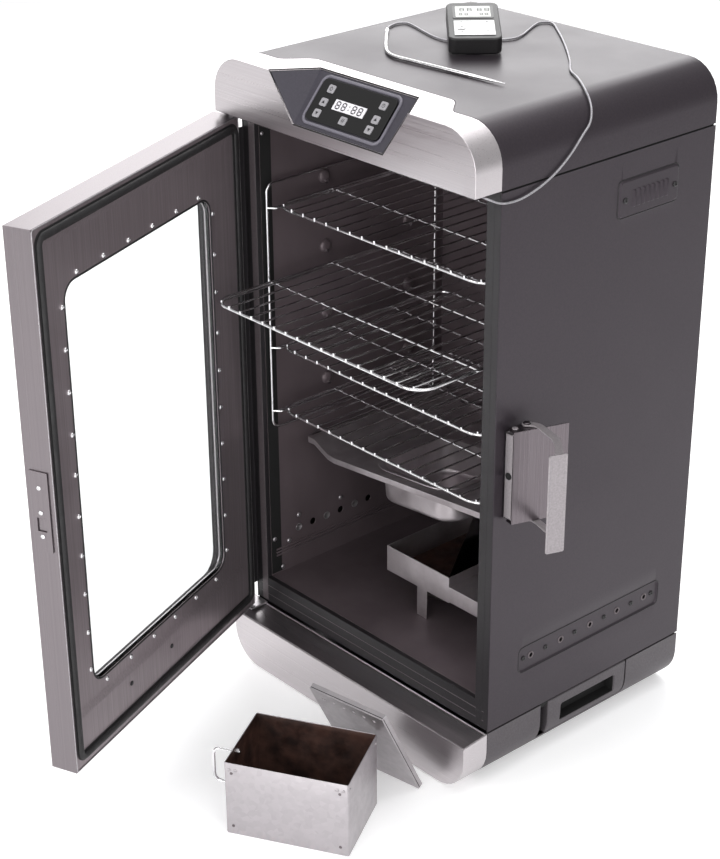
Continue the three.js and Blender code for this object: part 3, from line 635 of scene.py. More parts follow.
def side_skin(s, name, node):
    v, f, idx = [], [], {}

    def vert(y, z, inner):
        k = (round(y, 3), round(z, 3), inner)
        if k not in idx:
            idx[k] = len(v)
            v.append((s * (222 - (1.5 if inner else 0) + relief(y, z)), y, z))
        return idx[k]

    def in_slot(y, z):
        return 702 < z < 722 and any(abs(y - c) < 1.6 for c in SLOT_Y)

    def in_patch(y, z):
        return 153 < z < 163 and any(abs(y - c) < 5 for c in HOLES)
    cells = set()
    for i in range(len(YL) - 1):
        for j in range(len(ZL) - 1):
            ym, zm = (YL[i] + YL[i + 1]) / 2, (ZL[j] + ZL[j + 1]) / 2
            if not in_slot(ym, zm) and not in_patch(ym, zm):
                cells.add((i, j))
    for i, j in cells:
        q = [(YL[i], ZL[j]), (YL[i + 1], ZL[j]), (YL[i + 1], ZL[j + 1]), (YL[i], ZL[j + 1])]
        f.append([vert(y, z, False) for y, z in q])
        f.append([vert(y, z, True) for y, z in q][::-1])
        for k, (di, dj) in enumerate(((0, -1), (1, 0), (0, 1), (-1, 0))):
            if (i + di, j + dj) in cells:
                continue
            ym = (YL[i + di] + YL[i + di + 1]) / 2 if 0 <= i + di < len(YL) - 1 else None
            zm = (ZL[j + dj] + ZL[j + dj + 1]) / 2 if 0 <= j + dj < len(ZL) - 1 else None
            if ym is not None and zm is not None and in_patch(ym, zm):
                continue
            A, B = q[k], q[(k + 1) % 4]
            f.append([vert(*B, False), vert(*A, False), vert(*A, True), vert(*B, True)])
    for c in HOLES:
        sq = [(c - 5 + 2.5 * k, 153) for k in range(4)] + [(c + 5, 153 + 2.5 * k) for k in range(4)] + [(c + 5 - 2.5 * k, 163) for k in range(4)] + [(c - 5, 163 - 2.5 * k) for k in range(4)]
        ci, rings = {}, []
        for inner in (False, True):
            for rad_, dip in ((4.4, 0.0), (3.6, -0.5 if not inner else 0.0)):
                ring = []
                for (y, z) in sq:
                    t = math.atan2(z - 158, y - c)
                    ring.append(len(v))
                    v.append((s * (222 - 2.0 - (1.5 if inner else 0) + dip), c + rad_ * cos(t), 158 + rad_ * sin(t)))
                rings.append(ring)
        for inner, R0, R1 in ((False, rings[0], rings[1]), (True, rings[2], rings[3])):
            for k in range(16):
                l = (k + 1) % 16
                q = [vert(*sq[k], inner), vert(*sq[l], inner), R0[l], R0[k]]
                q2 = [R0[k], R0[l], R1[l], R1[k]]
                f.append(q if not inner else q[::-1])
                f.append(q2 if not inner else q2[::-1])
        for k in range(16):
            l = (k + 1) % 16
            f.append([rings[1][k], rings[1][l], rings[3][l], rings[3][k]])
    g = MB()
    g.put(v, f)
    o = g.make(name, "shell", "cabinet", "shell_paint", (node,), bevel=0, angle=32)
    return o


for s, side in ((1, "right"), (-1, "left")):
    side_skin(s, "side_skin_" + side, "side_panel_" + side)
    g = MB()          # louvre hoods over the slots, open towards the rear
    for y in SLOT_Y:
        n = 6
        outer, inner = [], []
        for k in range(n + 1):
            t = k / n
            yy = y - 1.9 + 4.6 * t
            xx = 223.9 + 2.3 * sin(t * pi / 2)
            outer.append((yy, xx))
            inner.append((yy + 0.25, xx - 0.7))
        sec = outer + inner[::-1]
        zs = [(701.2, 0.0), (701.9, 0.7), (703.2, 1.0), (720.8, 1.0), (722.1, 0.7), (722.8, 0.0)]
        v, f = [], []
        for z, k in zs:
            for (yy, xx) in sec:
                v.append((s * (223.9 + (xx - 223.9) * k), y - 1.9 + (yy - y + 1.9), z))
        m_ = len(sec)
        for i in range(len(zs) - 1):
            for k in range(m_):
                l = (k + 1) % m_
                f.append((i * m_ + k, i * m_ + l, (i + 1) * m_ + l, (i + 1) * m_ + k))
        f.append(list(range(m_))[::-1])
        f.append(list(range((len(zs) - 1) * m_, len(zs) * m_)))
        g.put(v, f)
    g.make("louvres_" + side, "shell", "cabinet", "shell_paint", angle=50)
    g = MB()
    for y, z in ((41, 712), (126, 712)):
        g.screw((s * 224.2, y, z), (s, 0, 0), 3.6, 2.0)
    for y in SCREWS_LOW:
        g.screw((s * 220.0, y, 158), (s, 0, 0), 3.3, 1.9)
    g.make("side_screws_" + side, "black", "cabinet", "dark_paint")
    g = MB()          # painted shade: flat black sheets inside the seams and behind the vent openings, standing in for the shadow seen through the gaps
    g.box(s * 219.9 if s > 0 else -220.3, 220.3 if s > 0 else -219.9, -155, 194, 762, 773)
    g.box(218.6 if s > 0 else -219.9, 219.9 if s > 0 else -218.6, -155, 192, 70, 84)
    g.box(216.5 if s > 0 else -217.5, 217.5 if s > 0 else -216.5, -104, 149, 141, 174)
    g.box(220.0 if s > 0 else -220.5, 220.5 if s > 0 else -220.0, 40, 124, 696, 730)
    g.make("painted_seam_shade_" + side, "gap", "cabinet", "dark_paint", bevel=0.1)

# ------------------------------------------------------------------ front frame trim and chamber details
g = MB()
g.box(-210.5, -199.3, -155.5, -155.0, 80, 764)
g.make("left_stile_strip", "stile", "cabinet", "bright_steel", bevel=0.15)
# painted shade: the right stile strip is the same bright steel as the left one but takes the dark satin paint, so it
# reads as lying in shadow
g = MB()
g.box(200.5, 211, -155.5, -155.0, 80, 764)
g.make("right_stile_strip", "dark", "cabinet", "bright_steel", bevel=0.15)
g = MB()
for z in (90.5, 103.5):
    g.tube([(-214, -154.8, z), (214, -154.8, z)], 0.7, 8)
g.make("sill_beads", "stile", "cabinet", "bright_steel")
g = MB()
g.tube([(-220, -157.4, 74.4), (220, -157.4, 74.4)], 1.3, 12)
g.make("skirt_rolled_lip", "steel_x", "cabinet", "bright_steel")

g = MB()      # domed studs that carry the rack supports, on both side walls
for s in (-1, 1):
    for z in (658, 565, 474, 380):
        for y in (-45, 100):
            q = T(s * 199, y, z) @ R(90 * -s, "Y")
            g.lathe([(0, -0.5), (9, -0.5), (9, 0.8), (8.4, 2.4), (6.8, 3.8), (4, 4.8), (0, 5.1)], 28, q)
g.make("wall_studs", "enamel", "cabinet", "enamel", angle=60)
g = MB()
for s in (-1, 1):
    for y, z in ((-99, 192), (-24, 192), (-117, 159), (-129, 123), (-150 + 8, 170)):
        g.screw((s * 199, y, z), (-s, 0, 0), 3.4, 2.2, cross=False)
g.screw((-199, -144, 735), (1, 0, 0), 2.6, 1.8, cross=False)
g.make("wall_rivets", "trim", "cabinet", "bright_steel")
g = MB()
for s in (-1, 1):
    for k in range(3):
        z = 143.5 + 4.6 * k
        g.tube([(s * 198.6, -140, z), (s * 198.6, 150, z)], 1.5, 10)
g.make("wall_ribs", "enamel", "cabinet", "enamel")

# ------------------------------------------------------------------ racks
RZ = [643, 544, 455, 366]


def rack(i):
    z, dy = RZ[i], (-102 if i == 1 else 0)
    g = MB()
    ring = [(x, y + dy, z + 2) for x, y in rr(-184, 184, -138, 148, 26, 10)]
    g.tube(ring, 2.0, 14, closed=True)
    for k in range(-8, 9):
        x = k * 21.5
        inset = 5.5 if abs(k) == 8 else 0.0
        zc = z + 4.75
        pts = [(x, -139.6 + inset + dy, z + 3.4), (x, -138.6 + inset + dy, zc - 0.25), (x, -136 + inset + dy, zc), (x, 0 + dy, zc), (x, 146 - inset + dy, zc), (x, 148.6 - inset + dy, zc - 0.25), (x, 149.6 - inset + dy, z + 3.4)]
        g.tube(pts, 1.25, 9)
        g.tube([(x, -139.3 + inset + dy, z + 2.0), (x, -139.3 + inset + dy, z + 6.4)], 1.5, 9)
    for y in (-45, 55):
        g.tube([(-184, y + dy, z + 2.2), (184, y + dy, z + 2.2)], 1.35, 9)
    g.make("rack_%d_wires" % (i + 1), "chrome", "rack_%d_body" % (i + 1), "chrome_wire", ("rack_%d" % (i + 1),), angle=50)


for i in range(4):
    rack(i)

for s, side in ((-1, "left"), (1, "right")):
    g = MB()
    loop = [(s * 193, y, z) for y, z in rr(-144, 144, 339, 672, 12, 8)]
    g.tube(loop, 1.9, 12, closed=True)
    g.tube([(s * 193, 144, 350), (s * 193, 144, 298)], 1.9, 12)
    for z in RZ:
        zc = z - 2.0
        path = [(s * 193, -144, zc), (s * 183.6, -136, zc), (s * 183.6, 136, zc), (s * 193, 144, zc)]
        g.tube(fillet(path, 5), 1.6, 10)
        g.tube([(s * 189, -139, zc), (s * 189, 139, zc)], 1.3, 9)
    zc = (327.6 if s > 0 else 310.3) - 1.7
    g.tube(fillet([(s * 193, 144, zc), (s * 193, -82, zc), (s * 183.6, -82, zc), (s * 183.6, 137, zc), (s * 192, 139, zc)], 4), 1.6, 10)
    for y in (-45, 100):
        for z in (658, 565, 474, 380):
            g.tube([(s * 199, y, z - 6), (s * 196, y, z - 6), (s * 193, y, z - 6)], 2.4, 12)
    g.make("rack_support_wires_" + side, "chrome", "cabinet", "chrome_wire", ("rack_support_" + side,), angle=50)

# ------------------------------------------------------------------ water pan
TRAY = T(0, 0, 312) @ R(-5.42, "Y")


def tub_ring(g_, z, n=8):          # rounded outline of the tub grown by g_
    return [(x, y, z) for x, y in rr(-76 - g_, 64 + g_, -72 - g_, 52 + g_, 30 + g_, n)]


rings = [tub_ring(-6.5, -48), tub_ring(-3.2, -47.2), tub_ring(-1.0, -44.8), tub_ring(0, -41), tub_ring(0, 0.3), tub_ring(6.2, 0.35), tub_ring(7, 0.8), tub_ring(6.6, 1.6),
         tub_ring(0.4, 1.7), tub_ring(-1.3, 1.0), tub_ring(-1.3, -40.8), tub_ring(-2.2, -43.9), tub_ring(-4.0, -45.9), tub_ring(-7, -46.7)]
n = len(rings[0])
f = [list(range(n))[::-1]]
for i in range(len(rings) - 1):
    for k in range(n):
        l = (k + 1) % n
        f.append((i * n + k, i * n + l, (i + 1) * n + l, (i + 1) * n + k))
f.append(list(range((len(rings) - 1) * n, len(rings) * n)))
MB().put([q for ring in rings for q in ring], f).make("water_pan_tub", "tray", "water_pan_body", "tray_steel", ("water_pan",), M=TRAY, angle=40)

# ------------------------------------------------------------------ door details (closed coordinates, hung by DOOR)
g = MB()
for x in (136.3, 82.4, 30.4, -21.4, -74.8, -125.8):
    g.screw((x, -165, 687), (0, 1, 0), 3.3, 2.2)
for x in (136.1, 81.8, 27.9, -23.3, -75.8, -127.6):
    g.screw((x, -165, 164.5), (0, 1, 0), 3.3, 2.2)
for z in (657, 607, 556, 504, 454, 401, 350, 299, 247, 196):
    g.screw((168, -165, z), (0, 1, 0), 3.3, 2.2)
for z in (657, 605, 556, 502, 451, 400, 349, 298, 245, 193.5):
    g.screw((-157.5, -165, z), (0, 1, 0), 3.3, 2.2)
g.make("door_liner_screws", "chrome", "door", "bright_steel", M=DOOR)
g = MB()
for x in (91, -4.4):
    g.screw((x, -160.3, 132.5), (0, 1, 0), 3.2, 1.6, cross=False)
g.make("door_liner_rivets", "dark", "door", "dark_paint", M=DOOR)

g = MB()      # bulb gasket with its mounting flange
path = [(x, -160, z) for x, z in rr(-209.6, 209.6, 96, 750.6, 10, 8)]
bulb = [(4.6 * cos(2 * pi * k / 14), 1.9 + 2.5 * sin(2 * pi * k / 14)) for k in range(14)]
g.sweep(path, bulb, (0, 1, 0))
fl = [(-6.2, -0.2), (6.2, -0.2), (6.2, 0.8), (-6.2, 0.8)]
g.sweep(path, fl, (0, 1, 0))
g.make("door_gasket_bulb", "rubber", "door", "rubber", ("door_gasket",), M=DOOR, angle=45)
g = MB()      # folded hem of the outer sheet round the liner
g.sweep([(x, -160.2, z) for x, z in rr(-218.6, 218.6, 81.4, 761.6, 3, 4)], [(0.9 * cos(2 * pi * k / 10), 0.9 * sin(2 * pi * k / 10)) for k in range(10)], (0, 1, 0))
g.make("door_hem", "trim", "door", "bright_steel", M=DOOR, angle=60)
g = MB()      # window seal bead on the chamber side
g.sweep([(x, -165.0, z) for x, z in rr(-151.5 - 1.2, 161.5 + 1.2, 172.5 - 1.2, 679.5 + 1.2, 21, 10)], [(1.3 * cos(2 * pi * k / 10), 0.9 * sin(2 * pi * k / 10)) for k in range(10)], (0, 1, 0))
g.make("window_bead", "rubber", "door", "rubber", M=DOOR, angle=60)
g = MB()
g.sweep([(x, -172.5, z) for x, z in rr(-151.5 + 0.3, 161.5 - 0.3, 172.5 + 0.3, 679.5 - 0.3, 20, 10)], [(-0.2, -0.2), (0.9, -0.2), (0.9, 1.6), (-0.2, 1.6)], (0, 1, 0))
g.make("window_retainer", "trim", "door", "bright_steel", M=DOOR, angle=40)
g = MB()
for z in (460, 429, 399):
    g.screw((222, -177, z), (1, 0, 0), 2.9, 1.6)
g.make("striker_screws", "chrome", "door", "bright_steel", M=DOOR)

# ------------------------------------------------------------------ latch
def thick(curve, t):
    """Closed outline of constant thickness t about an open 2D curve."""
    P = [Vector((p[0], p[1])) for p in curve]
    L, Rr = [], []
    for i, p in enumerate(P):
        q = (P[min(i + 1, len(P) - 1)] - P[max(i - 1, 0)]).normalized()
        nn = Vector((-q.y, q.x))
        L.append(tuple(p + nn * t / 2))
        Rr.append(tuple(p - nn * t / 2))
    return L + Rr[::-1]


P1, P2 = (230.4, -133.4), (232.5, -117)
g = MB()      # bracket with the riveted pin
g.box(222.3, 223.9, -140.6, -100, 371, 481)
g.box(222.3, 234.5, -140.6, -139, 371, 481)
g.box(222.3, 235, -140.6, -127, 479.4, 481)
g.box(222.3, 235, -140.6, -127, 371, 372.6)
g.lathe([(0, 366), (1.9, 366), (2.3, 366.5), (2.3, 485.3), (3.6, 485.4), (3.8, 485.8), (3.2, 486.6), (0, 486.8)], 24, T(P1[0], P1[1], 0))
g.make("latch_bracket_plate", "latch_satin", "cabinet", "bright_steel", ("latch_bracket",), bevel=0.3, seg=2, angle=50)
g = MB()
# painted shade: a black disc in the flange hole stands in for the shadow inside it
g.lathe([(0, 0.2), (3.2, 0.2), (3.2, 0.7), (4.4, 0.9), (4.4, 0.2), (3.0, -0.2), (0, -0.2)], 28, T(229.5, -140.6, 427) @ R(90, "X"))
g.make("latch_flange_hole_shade", "gap", "cabinet", "dark_paint")
g = MB()      # catch: curved plate with flanges, stubs for the handle
A2, B2, W2 = Vector((236.6, -141.6)), Vector((259.4, -75.8)), Vector((0.9449, -0.3274))
g.prism(thick([tuple(A2), tuple(A2.lerp(B2, 0.5) + W2 * 0.0), tuple(B2)], 1.6), 367.2, 484.8)
for z in (367, 483.4):
    g.prism([tuple(A2), (247.1, -111.4), (240, -107.6), (230.5, -110.5), (227, -120), (226.4, -139.5)], z, z + 1.6)
    g.lathe([(2.7, z - 0.3), (3.9, z - 0.2), (3.9, z + 1.75), (2.7, z + 1.8)], 24, T(P1[0], P1[1], 0))
for a_, b_ in ((483.5, 489.0), (362.8, 368.5)):
    g.lathe([(0, a_), (2.3, a_), (2.3, b_), (0, b_)], 24, T(P2[0], P2[1], 0))
for a_ in (487.8, 362.6):
    g.lathe([(0, a_), (3.6, a_), (4, a_ + 0.3), (4, a_ + 0.9), (3.5, a_ + 1.3), (0, a_ + 1.4)], 24, T(P2[0], P2[1], 0))
g.make("latch_catch_plate", "catch_steel_dark_reflection", "latch_catch_body", "bright_steel", ("latch_catch",), bevel=0.25, seg=2, angle=50)
g = MB()      # handle: two S-shaped arms and the grip
arm_c = [(q.x, q.y) for q in catmull([(232.5, -117, 0), (243, -110.8, 0), (262, -115.0, 0), (281.5, -121.5, 0), (294.4, -130.5, 0), (304, -139.5, 0), (311.5, -147.5, 0)], 5)]
for z0, z1 in ((485.4, 487.5), (364.4, 366.6)):
    g.prism(thick(arm_c, 9), z0, z1)
    g.lathe([(2.7, z0), (5.2, z0), (5.5, z0 + 0.4), (5.5, z1 - 0.4), (5.2, z1), (2.7, z1)], 28, T(P2[0], P2[1], 0))
g.prism(thick([(308, -158), (311.8, -148.2), (315, -139)], 2), 364.4, 487.5)
g.tube([(308, -158, 365.4), (308, -158, 486.5)], 1.5, 12)
g.tube([(315, -139, 365.4), (315, -139, 486.5)], 1.5, 12)
g.make("latch_handle_frame", "latch_satin", "latch", "bright_steel", ("latch_handle",), bevel=0.3, seg=2, angle=50)
g = MB()
for z in (388, 427, 464):
    g.screw((223.9, -112, z), (1, 0, 0), 3.0, 1.6)
g.make("latch_screws", "chrome", "cabinet", "bright_steel")

g = MB()      # painted shade: dark line round the control recess, standing in for the shadow in the gap between bezel and control housing
g.tube([(118, -195.2, 840.1), (77, -195.6, 784.6), (-77, -195.6, 784.6), (-118, -195.2, 840.1)], 0.9, 8)
g.tube([(118, -195.2, 839.9), (82.2, -147.2, 839.9), (-82.2, -147.2, 839.9), (-118, -195.2, 839.9)], 0.9, 8)
g.make("recess_edge_shade_line", "gap", "cabinet", "gloss_black")
for s, side in ((1, "right"), (-1, "left")):
    g = MB()      # painted shade: black sheets lining the well inside the carrying handle, where the recess falls into shadow
    g.box(206.1 if s > 0 else -206.9, 206.9 if s > 0 else -206.1, -23.8, 74.8, 37.2, 60.8)
    g.box(207 if s > 0 else -219.5, 219.5 if s > 0 else -207, -23.8, 74.8, 60.3, 60.9)
    g.box(207 if s > 0 else -220.5, 220.5 if s > 0 else -207, -23.8, 74.8, 37.1, 37.8)
    g.box(207 if s > 0 else -220.0, 220.0 if s > 0 else -207, 74.1, 74.8, 37.3, 60.7)
    g.make("handle_well_shade_" + side, "gap", "cabinet", "black_plastic")
    g = MB()      # painted shade: thin dark lines along the foot of the pressed vent fields, standing in for the shadow in their creases
    g.tube([(s * 222.05, y, z) for y, z in rr(30.6, 133.4, 690.6, 736.4, 6, 8)], 0.6, 8, closed=True)
    g.tube([(s * 222.05, y, z) for y, z in rr(-105.4, 150.4, 139.6, 175.4, 7, 8)], 0.5, 8, closed=True)
    g.make("vent_crease_shade_lines_" + side, "dark", "cabinet", "dark_paint")
    g = MB()      # bright eyelets in the lower vent holes
    for c in HOLES:
        prof_ = [(3.0, -0.3), (3.0, 0.5), (3.5, 0.9), (4.5, 0.7), (5.0, 0.1), (5.0, -0.3)]
        g.lathe(prof_, 24, T(s * 220.1, c, 158) @ R(90 * s, "Y"))
    g.make("vent_eyelets_" + side, "stile", "cabinet", "bright_steel", angle=60)
g = MB()      # plugs in the liner holes
for s in (-1, 1):
    for y in (-99, -49, 2):
        g.lathe([(0, -0.6), (3.6, -0.6), (4.6, 0.6), (5.4, 0.5), (5.6, -0.3), (5.6, -1.2), (0, -1.2)], 22, T(s * 199, y, 173) @ R(-90 * s, "Y"))
g.make("liner_vent_plugs", "trim", "cabinet", "bright_steel", angle=60)
g = MB()      # hinge-side flange that closes the gap beside the open door
g.box(-222, -220.6, -174.5, -156.2, 101, 741)
g.make("hinge_side_flange", "dark", "cabinet", "dark_paint", bevel=0.2)
g = MB()      # painted shade: thin black sheets at the edges of the chamber mouth, standing in for the shadow in the gap between frame and liner
for s in (-1, 1):
    g.box(s * 198.6 - 0.4, s * 198.6 + 0.4, -147.9, -131, 118, 764)
g.make("mouth_gap_painted_shade", "gap", "cabinet", "dark_paint", bevel=0.1)
g = MB()      # raised rim round the key panel
g.sweep([(x, y, 0) for x, y in rr(-67.5, 63.5, -29, 31, 9.5, 8)], [(2.0 * cos(2 * pi * k / 12), 0.2 + 2.0 * sin(2 * pi * k / 12)) for k in range(12)], (0, 0, 1))
g.make("membrane_rim", "rim", "cabinet", "grey_plastic", M=PANEL, angle=60)
g = MB()      # dark joint line between the face and the rim of the lid
g.box(111.9, 112.2, 1.9, 2.7, 1, 157)
g.box(1, 111, 1.9, 2.7, 157.9, 158.2)
g.box(-0.2, 0.1, 1.9, 2.7, 1, 157)
g.make("lid_joint_line", "gap", "chip_box_lid_body", "tray_steel", M=LID)
g = MB()      # small rivets of the chip box
for (x, z) in ((9, 12), (144, 12), (9, 88), (144, 88)):
    g.screw((x, 0, z), (0, -1, 0), 1.9, 0.9, cross=False)
g.make("chip_box_face_rivets", "stile", "chip_box_body", "tray_steel", M=BOX)
g = MB()      # smoke-stained floor of the chip bay
g.box(-50, 63, -69.5, 94, 159.7, 160.5)
g.make("chip_bay_stain", "smoked", "cabinet", "tray_steel", bevel=0.2)

# ------------------------------------------------------------------ control panel
g = MB()


def seg_digit(g, cx, cy, w, h, t, n0, n1, on="abcdefg"):
    """Seven-segment figure as thin bevelled bars."""
    def bar(x0, y0, x1, y1):
        dx, dy = x1 - x0, y1 - y0
        L = math.hypot(dx, dy)
        ux, uy = dx / L, dy / L
        px, py = -uy * t / 2, ux * t / 2
        k = t / 2
        out = [(x0, y0), (x0 + ux * k + px, y0 + uy * k + py), (x1 - ux * k + px, y1 - uy * k + py), (x1, y1), (x1 - ux * k - px, y1 - uy * k - py), (x0 + ux * k - px, y0 + uy * k - py)]
        g.prism(out[::-1], n0, n1)
    e_ = 0.18 * t
    x0, x1, y0, ym, y1 = cx - w / 2, cx + w / 2, cy - h / 2, cy, cy + h / 2
    segs = {"a": (x0 + e_, y1, x1 - e_, y1), "b": (x1, ym + e_, x1, y1 - e_), "c": (x1, y0 + e_, x1, ym - e_), "d": (x0 + e_, y0, x1 - e_, y0),
            "e": (x0, y0 + e_, x0, ym - e_), "f": (x0, ym + e_, x0, y1 - e_), "g": (x0 + e_, ym, x1 - e_, ym)}
    for k in on:
        bar(*segs[k])


for cx in (-22.5, -12.5, 4.5, 14.5):
    seg_digit(g, cx, 0.5, 5.6, 8.6, 1.3, 2.62, 2.86)
for cy in (-1.6, 2.6):
    g.prism([(-4 + 0.75 * cos(t * pi / 4), cy + 0.75 * sin(t * pi / 4)) for t in range(8)], 2.62, 2.86)
g.make("display_figures", "keymark", "cabinet", "display", M=PANEL, smooth=False)

KEYS = [(-45.6, 16.4), (-46.6, -0.9), (-47.8, -15.6), (-3.3, -15.1), (42.9, 15.7), (42.7, -2.3), (40.8, -15.6)]


def arc(cx, cy, r0, r1, a0, a1, n=14):
    return [(cx + r1 * cos(rad(a0 + (a1 - a0) * k / n)), cy + r1 * sin(rad(a0 + (a1 - a0) * k / n))) for k in range(n + 1)] + \
        [(cx + r0 * cos(rad(a1 + (a0 - a1) * k / n)), cy + r0 * sin(rad(a1 + (a0 - a1) * k / n))) for k in range(n + 1)]


for i, (cu, cv) in enumerate(KEYS):
    g = MB()
    n0, n1 = 2.86, 3.02
    if i == 0:                                   # on/off ring and bar
        g.prism(arc(cu, cv, 1.7, 2.4, 125, 415), n0, n1)
        g.prism([(cu - 0.35, cv + 0.6), (cu + 0.35, cv + 0.6), (cu + 0.35, cv + 3), (cu - 0.35, cv + 3)], n0, n1)
    elif i in (1, 5):                            # arrow up
        g.prism([(cu - 2.4, cv - 1.6), (cu + 2.4, cv - 1.6), (cu, cv + 2.2)], n0, n1)
    elif i in (2, 6):                            # arrow down
        g.prism([(cu, cv - 2.2), (cu + 2.4, cv + 1.6), (cu - 2.4, cv + 1.6)], n0, n1)
    elif i == 3:                                 # lamp: small disc with rays
        g.prism(arc(cu, cv, 0.9, 1.6, 0, 359), n0, n1)
        for k in range(8):
            t = k * pi / 4
            p, q = (cos(t), sin(t)), (-sin(t), cos(t))
            g.prism([(cu + p[0] * 2.2 - q[0] * 0.25, cv + p[1] * 2.2 - q[1] * 0.25), (cu + p[0] * 3.2 - q[0] * 0.25, cv + p[1] * 3.2 - q[1] * 0.25),
                     (cu + p[0] * 3.2 + q[0] * 0.25, cv + p[1] * 3.2 + q[1] * 0.25), (cu + p[0] * 2.2 + q[0] * 0.25, cv + p[1] * 2.2 + q[1] * 0.25)], n0, n1)
    else:                                        # clock
        g.prism(arc(cu, cv, 1.9, 2.5, 0, 359), n0, n1)
        g.prism([(cu - 0.25, cv), (cu + 0.25, cv), (cu + 0.25, cv + 1.6), (cu - 0.25, cv + 1.6)], n0, n1)
        g.prism([(cu, cv - 0.25), (cu + 1.3, cv - 0.25), (cu + 1.3, cv + 0.25), (cu, cv + 0.25)], n0, n1)
    g.make("key_mark_%d" % (i + 1), "keymark", "key_%d_body" % (i + 1), "gloss_black", M=PANEL, smooth=False)

# ------------------------------------------------------------------ chip box
g = MB()
BL, BW, BH, BT = 154.6, 110.5, 102, 1.2
outer = rr(0, BL, 0, BW, 2.2, 5)
inner = rr(BT, BL - BT, BT, BW - BT, 1.4, 5)


def shell_rings(rings):
    """Closed skin through a list of equal-length rings (x, y, z), first and last filled."""
    n = len(rings[0])
    v = [p for ring in rings for p in ring]
    f = [list(range(n))[::-1]]
    for i in range(len(rings) - 1):
        for k in range(n):
            l = (k + 1) % n
            f.append((i * n + k, i * n + l, (i + 1) * n + l, (i + 1) * n + k))
    f.append(list(range((len(rings) - 1) * n, len(rings) * n)))
    return v, f


def zr(ring, z):
    return [(x, y, z) for x, y in ring]


v, f = shell_rings([zr(rr(1.5, BL - 1.5, 1.5, BW - 1.5, 1.5, 5), 0), zr(rr(0.4, BL - 0.4, 0.4, BW - 0.4, 2.0, 5), 0.5), zr(outer, 1.6), zr(outer, BH - 0.4), zr(rr(0.25, BL - 0.25, 0.25, BW - 0.25, 2, 5), BH),
                    zr(rr(0.95, BL - 0.95, 0.95, BW - 0.95, 1.6, 5), BH), zr(inner, BH - 0.4), zr(inner, BH - 9)])
g.put(v, f[:-1])
v2, f2 = shell_rings([zr(inner, BH - 9), zr(inner, 2.2), zr(rr(2.2, BL - 2.2, 2.2, BW - 2.2, 1.2, 5), BT)])
box_o = MB()
o1 = len(v)
g.put(v2, [q for q in f2[1:]])
ob = g.make("chip_box_sheet", "galv", "chip_box_body", "tray_steel", ("chip_box",), M=BOX, angle=50)
ob.data.materials.append(MAT["smoked"])
bmx = BOX.inverted()
for p in ob.data.polygons:
    c = bmx @ (ob.matrix_world @ p.center * 1000)
    nn = bmx.to_3x3() @ p.normal
    inside = BT - 0.2 < c.x < BL - BT + 0.2 and BT - 0.2 < c.y < BW - BT + 0.2 and c.z > 1.0
    if inside and c.z < BH - 0.3:
        p.material_index = 1
g = MB()
for (x, y, n) in ((6, 0, (0, -1, 0)), (14, 0, (0, -1, 0)), (BL - 6, 0, (0, -1, 0)), (BL - 14, 0, (0, -1, 0)), (0, 6, (-1, 0, 0)), (0, BW - 6, (-1, 0, 0)), (BL, 6, (1, 0, 0)), (BL, BW - 6, (1, 0, 0)), (10, BW, (0, 1, 0)), (BL - 10, BW, (0, 1, 0))):
    g.screw((x, y, BH - 9), n, 2.2, 1.2, cross=False)
g.make("chip_box_rivets", "galv", "chip_box_body", "tray_steel", M=BOX)
g = MB()
wire = fillet([(6.5, 37, 93), (-28.3, 37, 93), (-28.3, 37, 46), (-0.4, 37, 46)], 11, 8)
g.tube(wire, 2.3, 14)
g.lathe([(0, 0), (5.2, 0), (5.2, 1.0), (4.0, 1.3), (0, 1.3)], 20, T(-1.6, 37, 46) @ R(90, "Y"))
g.lathe([(0, 0), (5.2, 0), (5.2, 1.0), (4.0, 1.3), (0, 1.3)], 20, T(-1.6, 37, 93) @ R(90, "Y"))
g.lathe([(0, 0), (4.4, 0), (4.4, 4.0), (0, 4.0)], 6, T(1.3, 37, 93) @ R(90, "Y"))
g.make("chip_box_bail", "chrome", "chip_box_body", "chrome_wire", ("chip_box_handle",), M=BOX, angle=50)

# ------------------------------------------------------------------ remote thermometer
RT = 20
g = MB()
g.prism(rr(-24.5, 24.5, 64, 106, 3.5, 6), RT - 0.3, RT + 0.5)
g.make("remote_bezel", "gloss", "remote", "gloss_black", M=REMT, bevel=0.25)
g = MB()
g.prism(rr(-21, 21, 67.5, 102.5, 1.5, 4), RT + 0.3, RT + 0.9)
g.make("remote_lcd", "lcd", "remote", "display", M=REMT, bevel=0.2)
g = MB()
for cx in (-13, -4, 8, 17):
    seg_digit(g, cx, 91, 4.6, 8.6, 1.1, RT + 0.88, RT + 1.02)
for cx in (-15, -8, 10, 16):
    seg_digit(g, cx, 76, 3.4, 6.4, 0.8, RT + 0.88, RT + 1.02)
g.make("remote_figures", "keymark", "remote", "gloss_black", M=REMT, smooth=False)
g = MB()
for k, (uu, vv) in enumerate([(-15, 18), (0, 18), (15, 18), (-15, 33), (15, 33), (-15, 48), (15, 48)]):
    if k % 3 == 0:
        g.prism([(uu - 1.8, vv - 1.2), (uu + 1.8, vv - 1.2), (uu, vv + 1.6)], RT + 1.96, RT + 2.12)
    elif k % 3 == 1:
        g.prism([(uu - 2, vv - 0.4), (uu + 2, vv - 0.4), (uu + 2, vv + 0.4), (uu - 2, vv + 0.4)], RT + 1.96, RT + 2.12)
    else:
        g.prism(arc(uu, vv, 0.9, 1.6, 0, 359), RT + 1.96, RT + 2.12)
g.make("remote_key_marks", "keymark", "remote", "gloss_black", M=REMT, smooth=False)

# ------------------------------------------------------------------ rear
g = MB()
for x in (-190, -95, 0, 95, 190):
    g.screw((x, 194, 818 if abs(x) < 180 else 790), (0, 1, 0), 3.2, 1.5)
    g.screw((x if x else 60, 194, 22 if abs(x) < 180 else 50), (0, 1, 0), 3.2, 1.5)
for z in (200, 400, 600):
    for x in (-212, 212):
        g.screw((x, 194, z), (0, 1, 0), 3.2, 1.5)
g.make("back_screws", "black", "cabinet", "dark_paint")

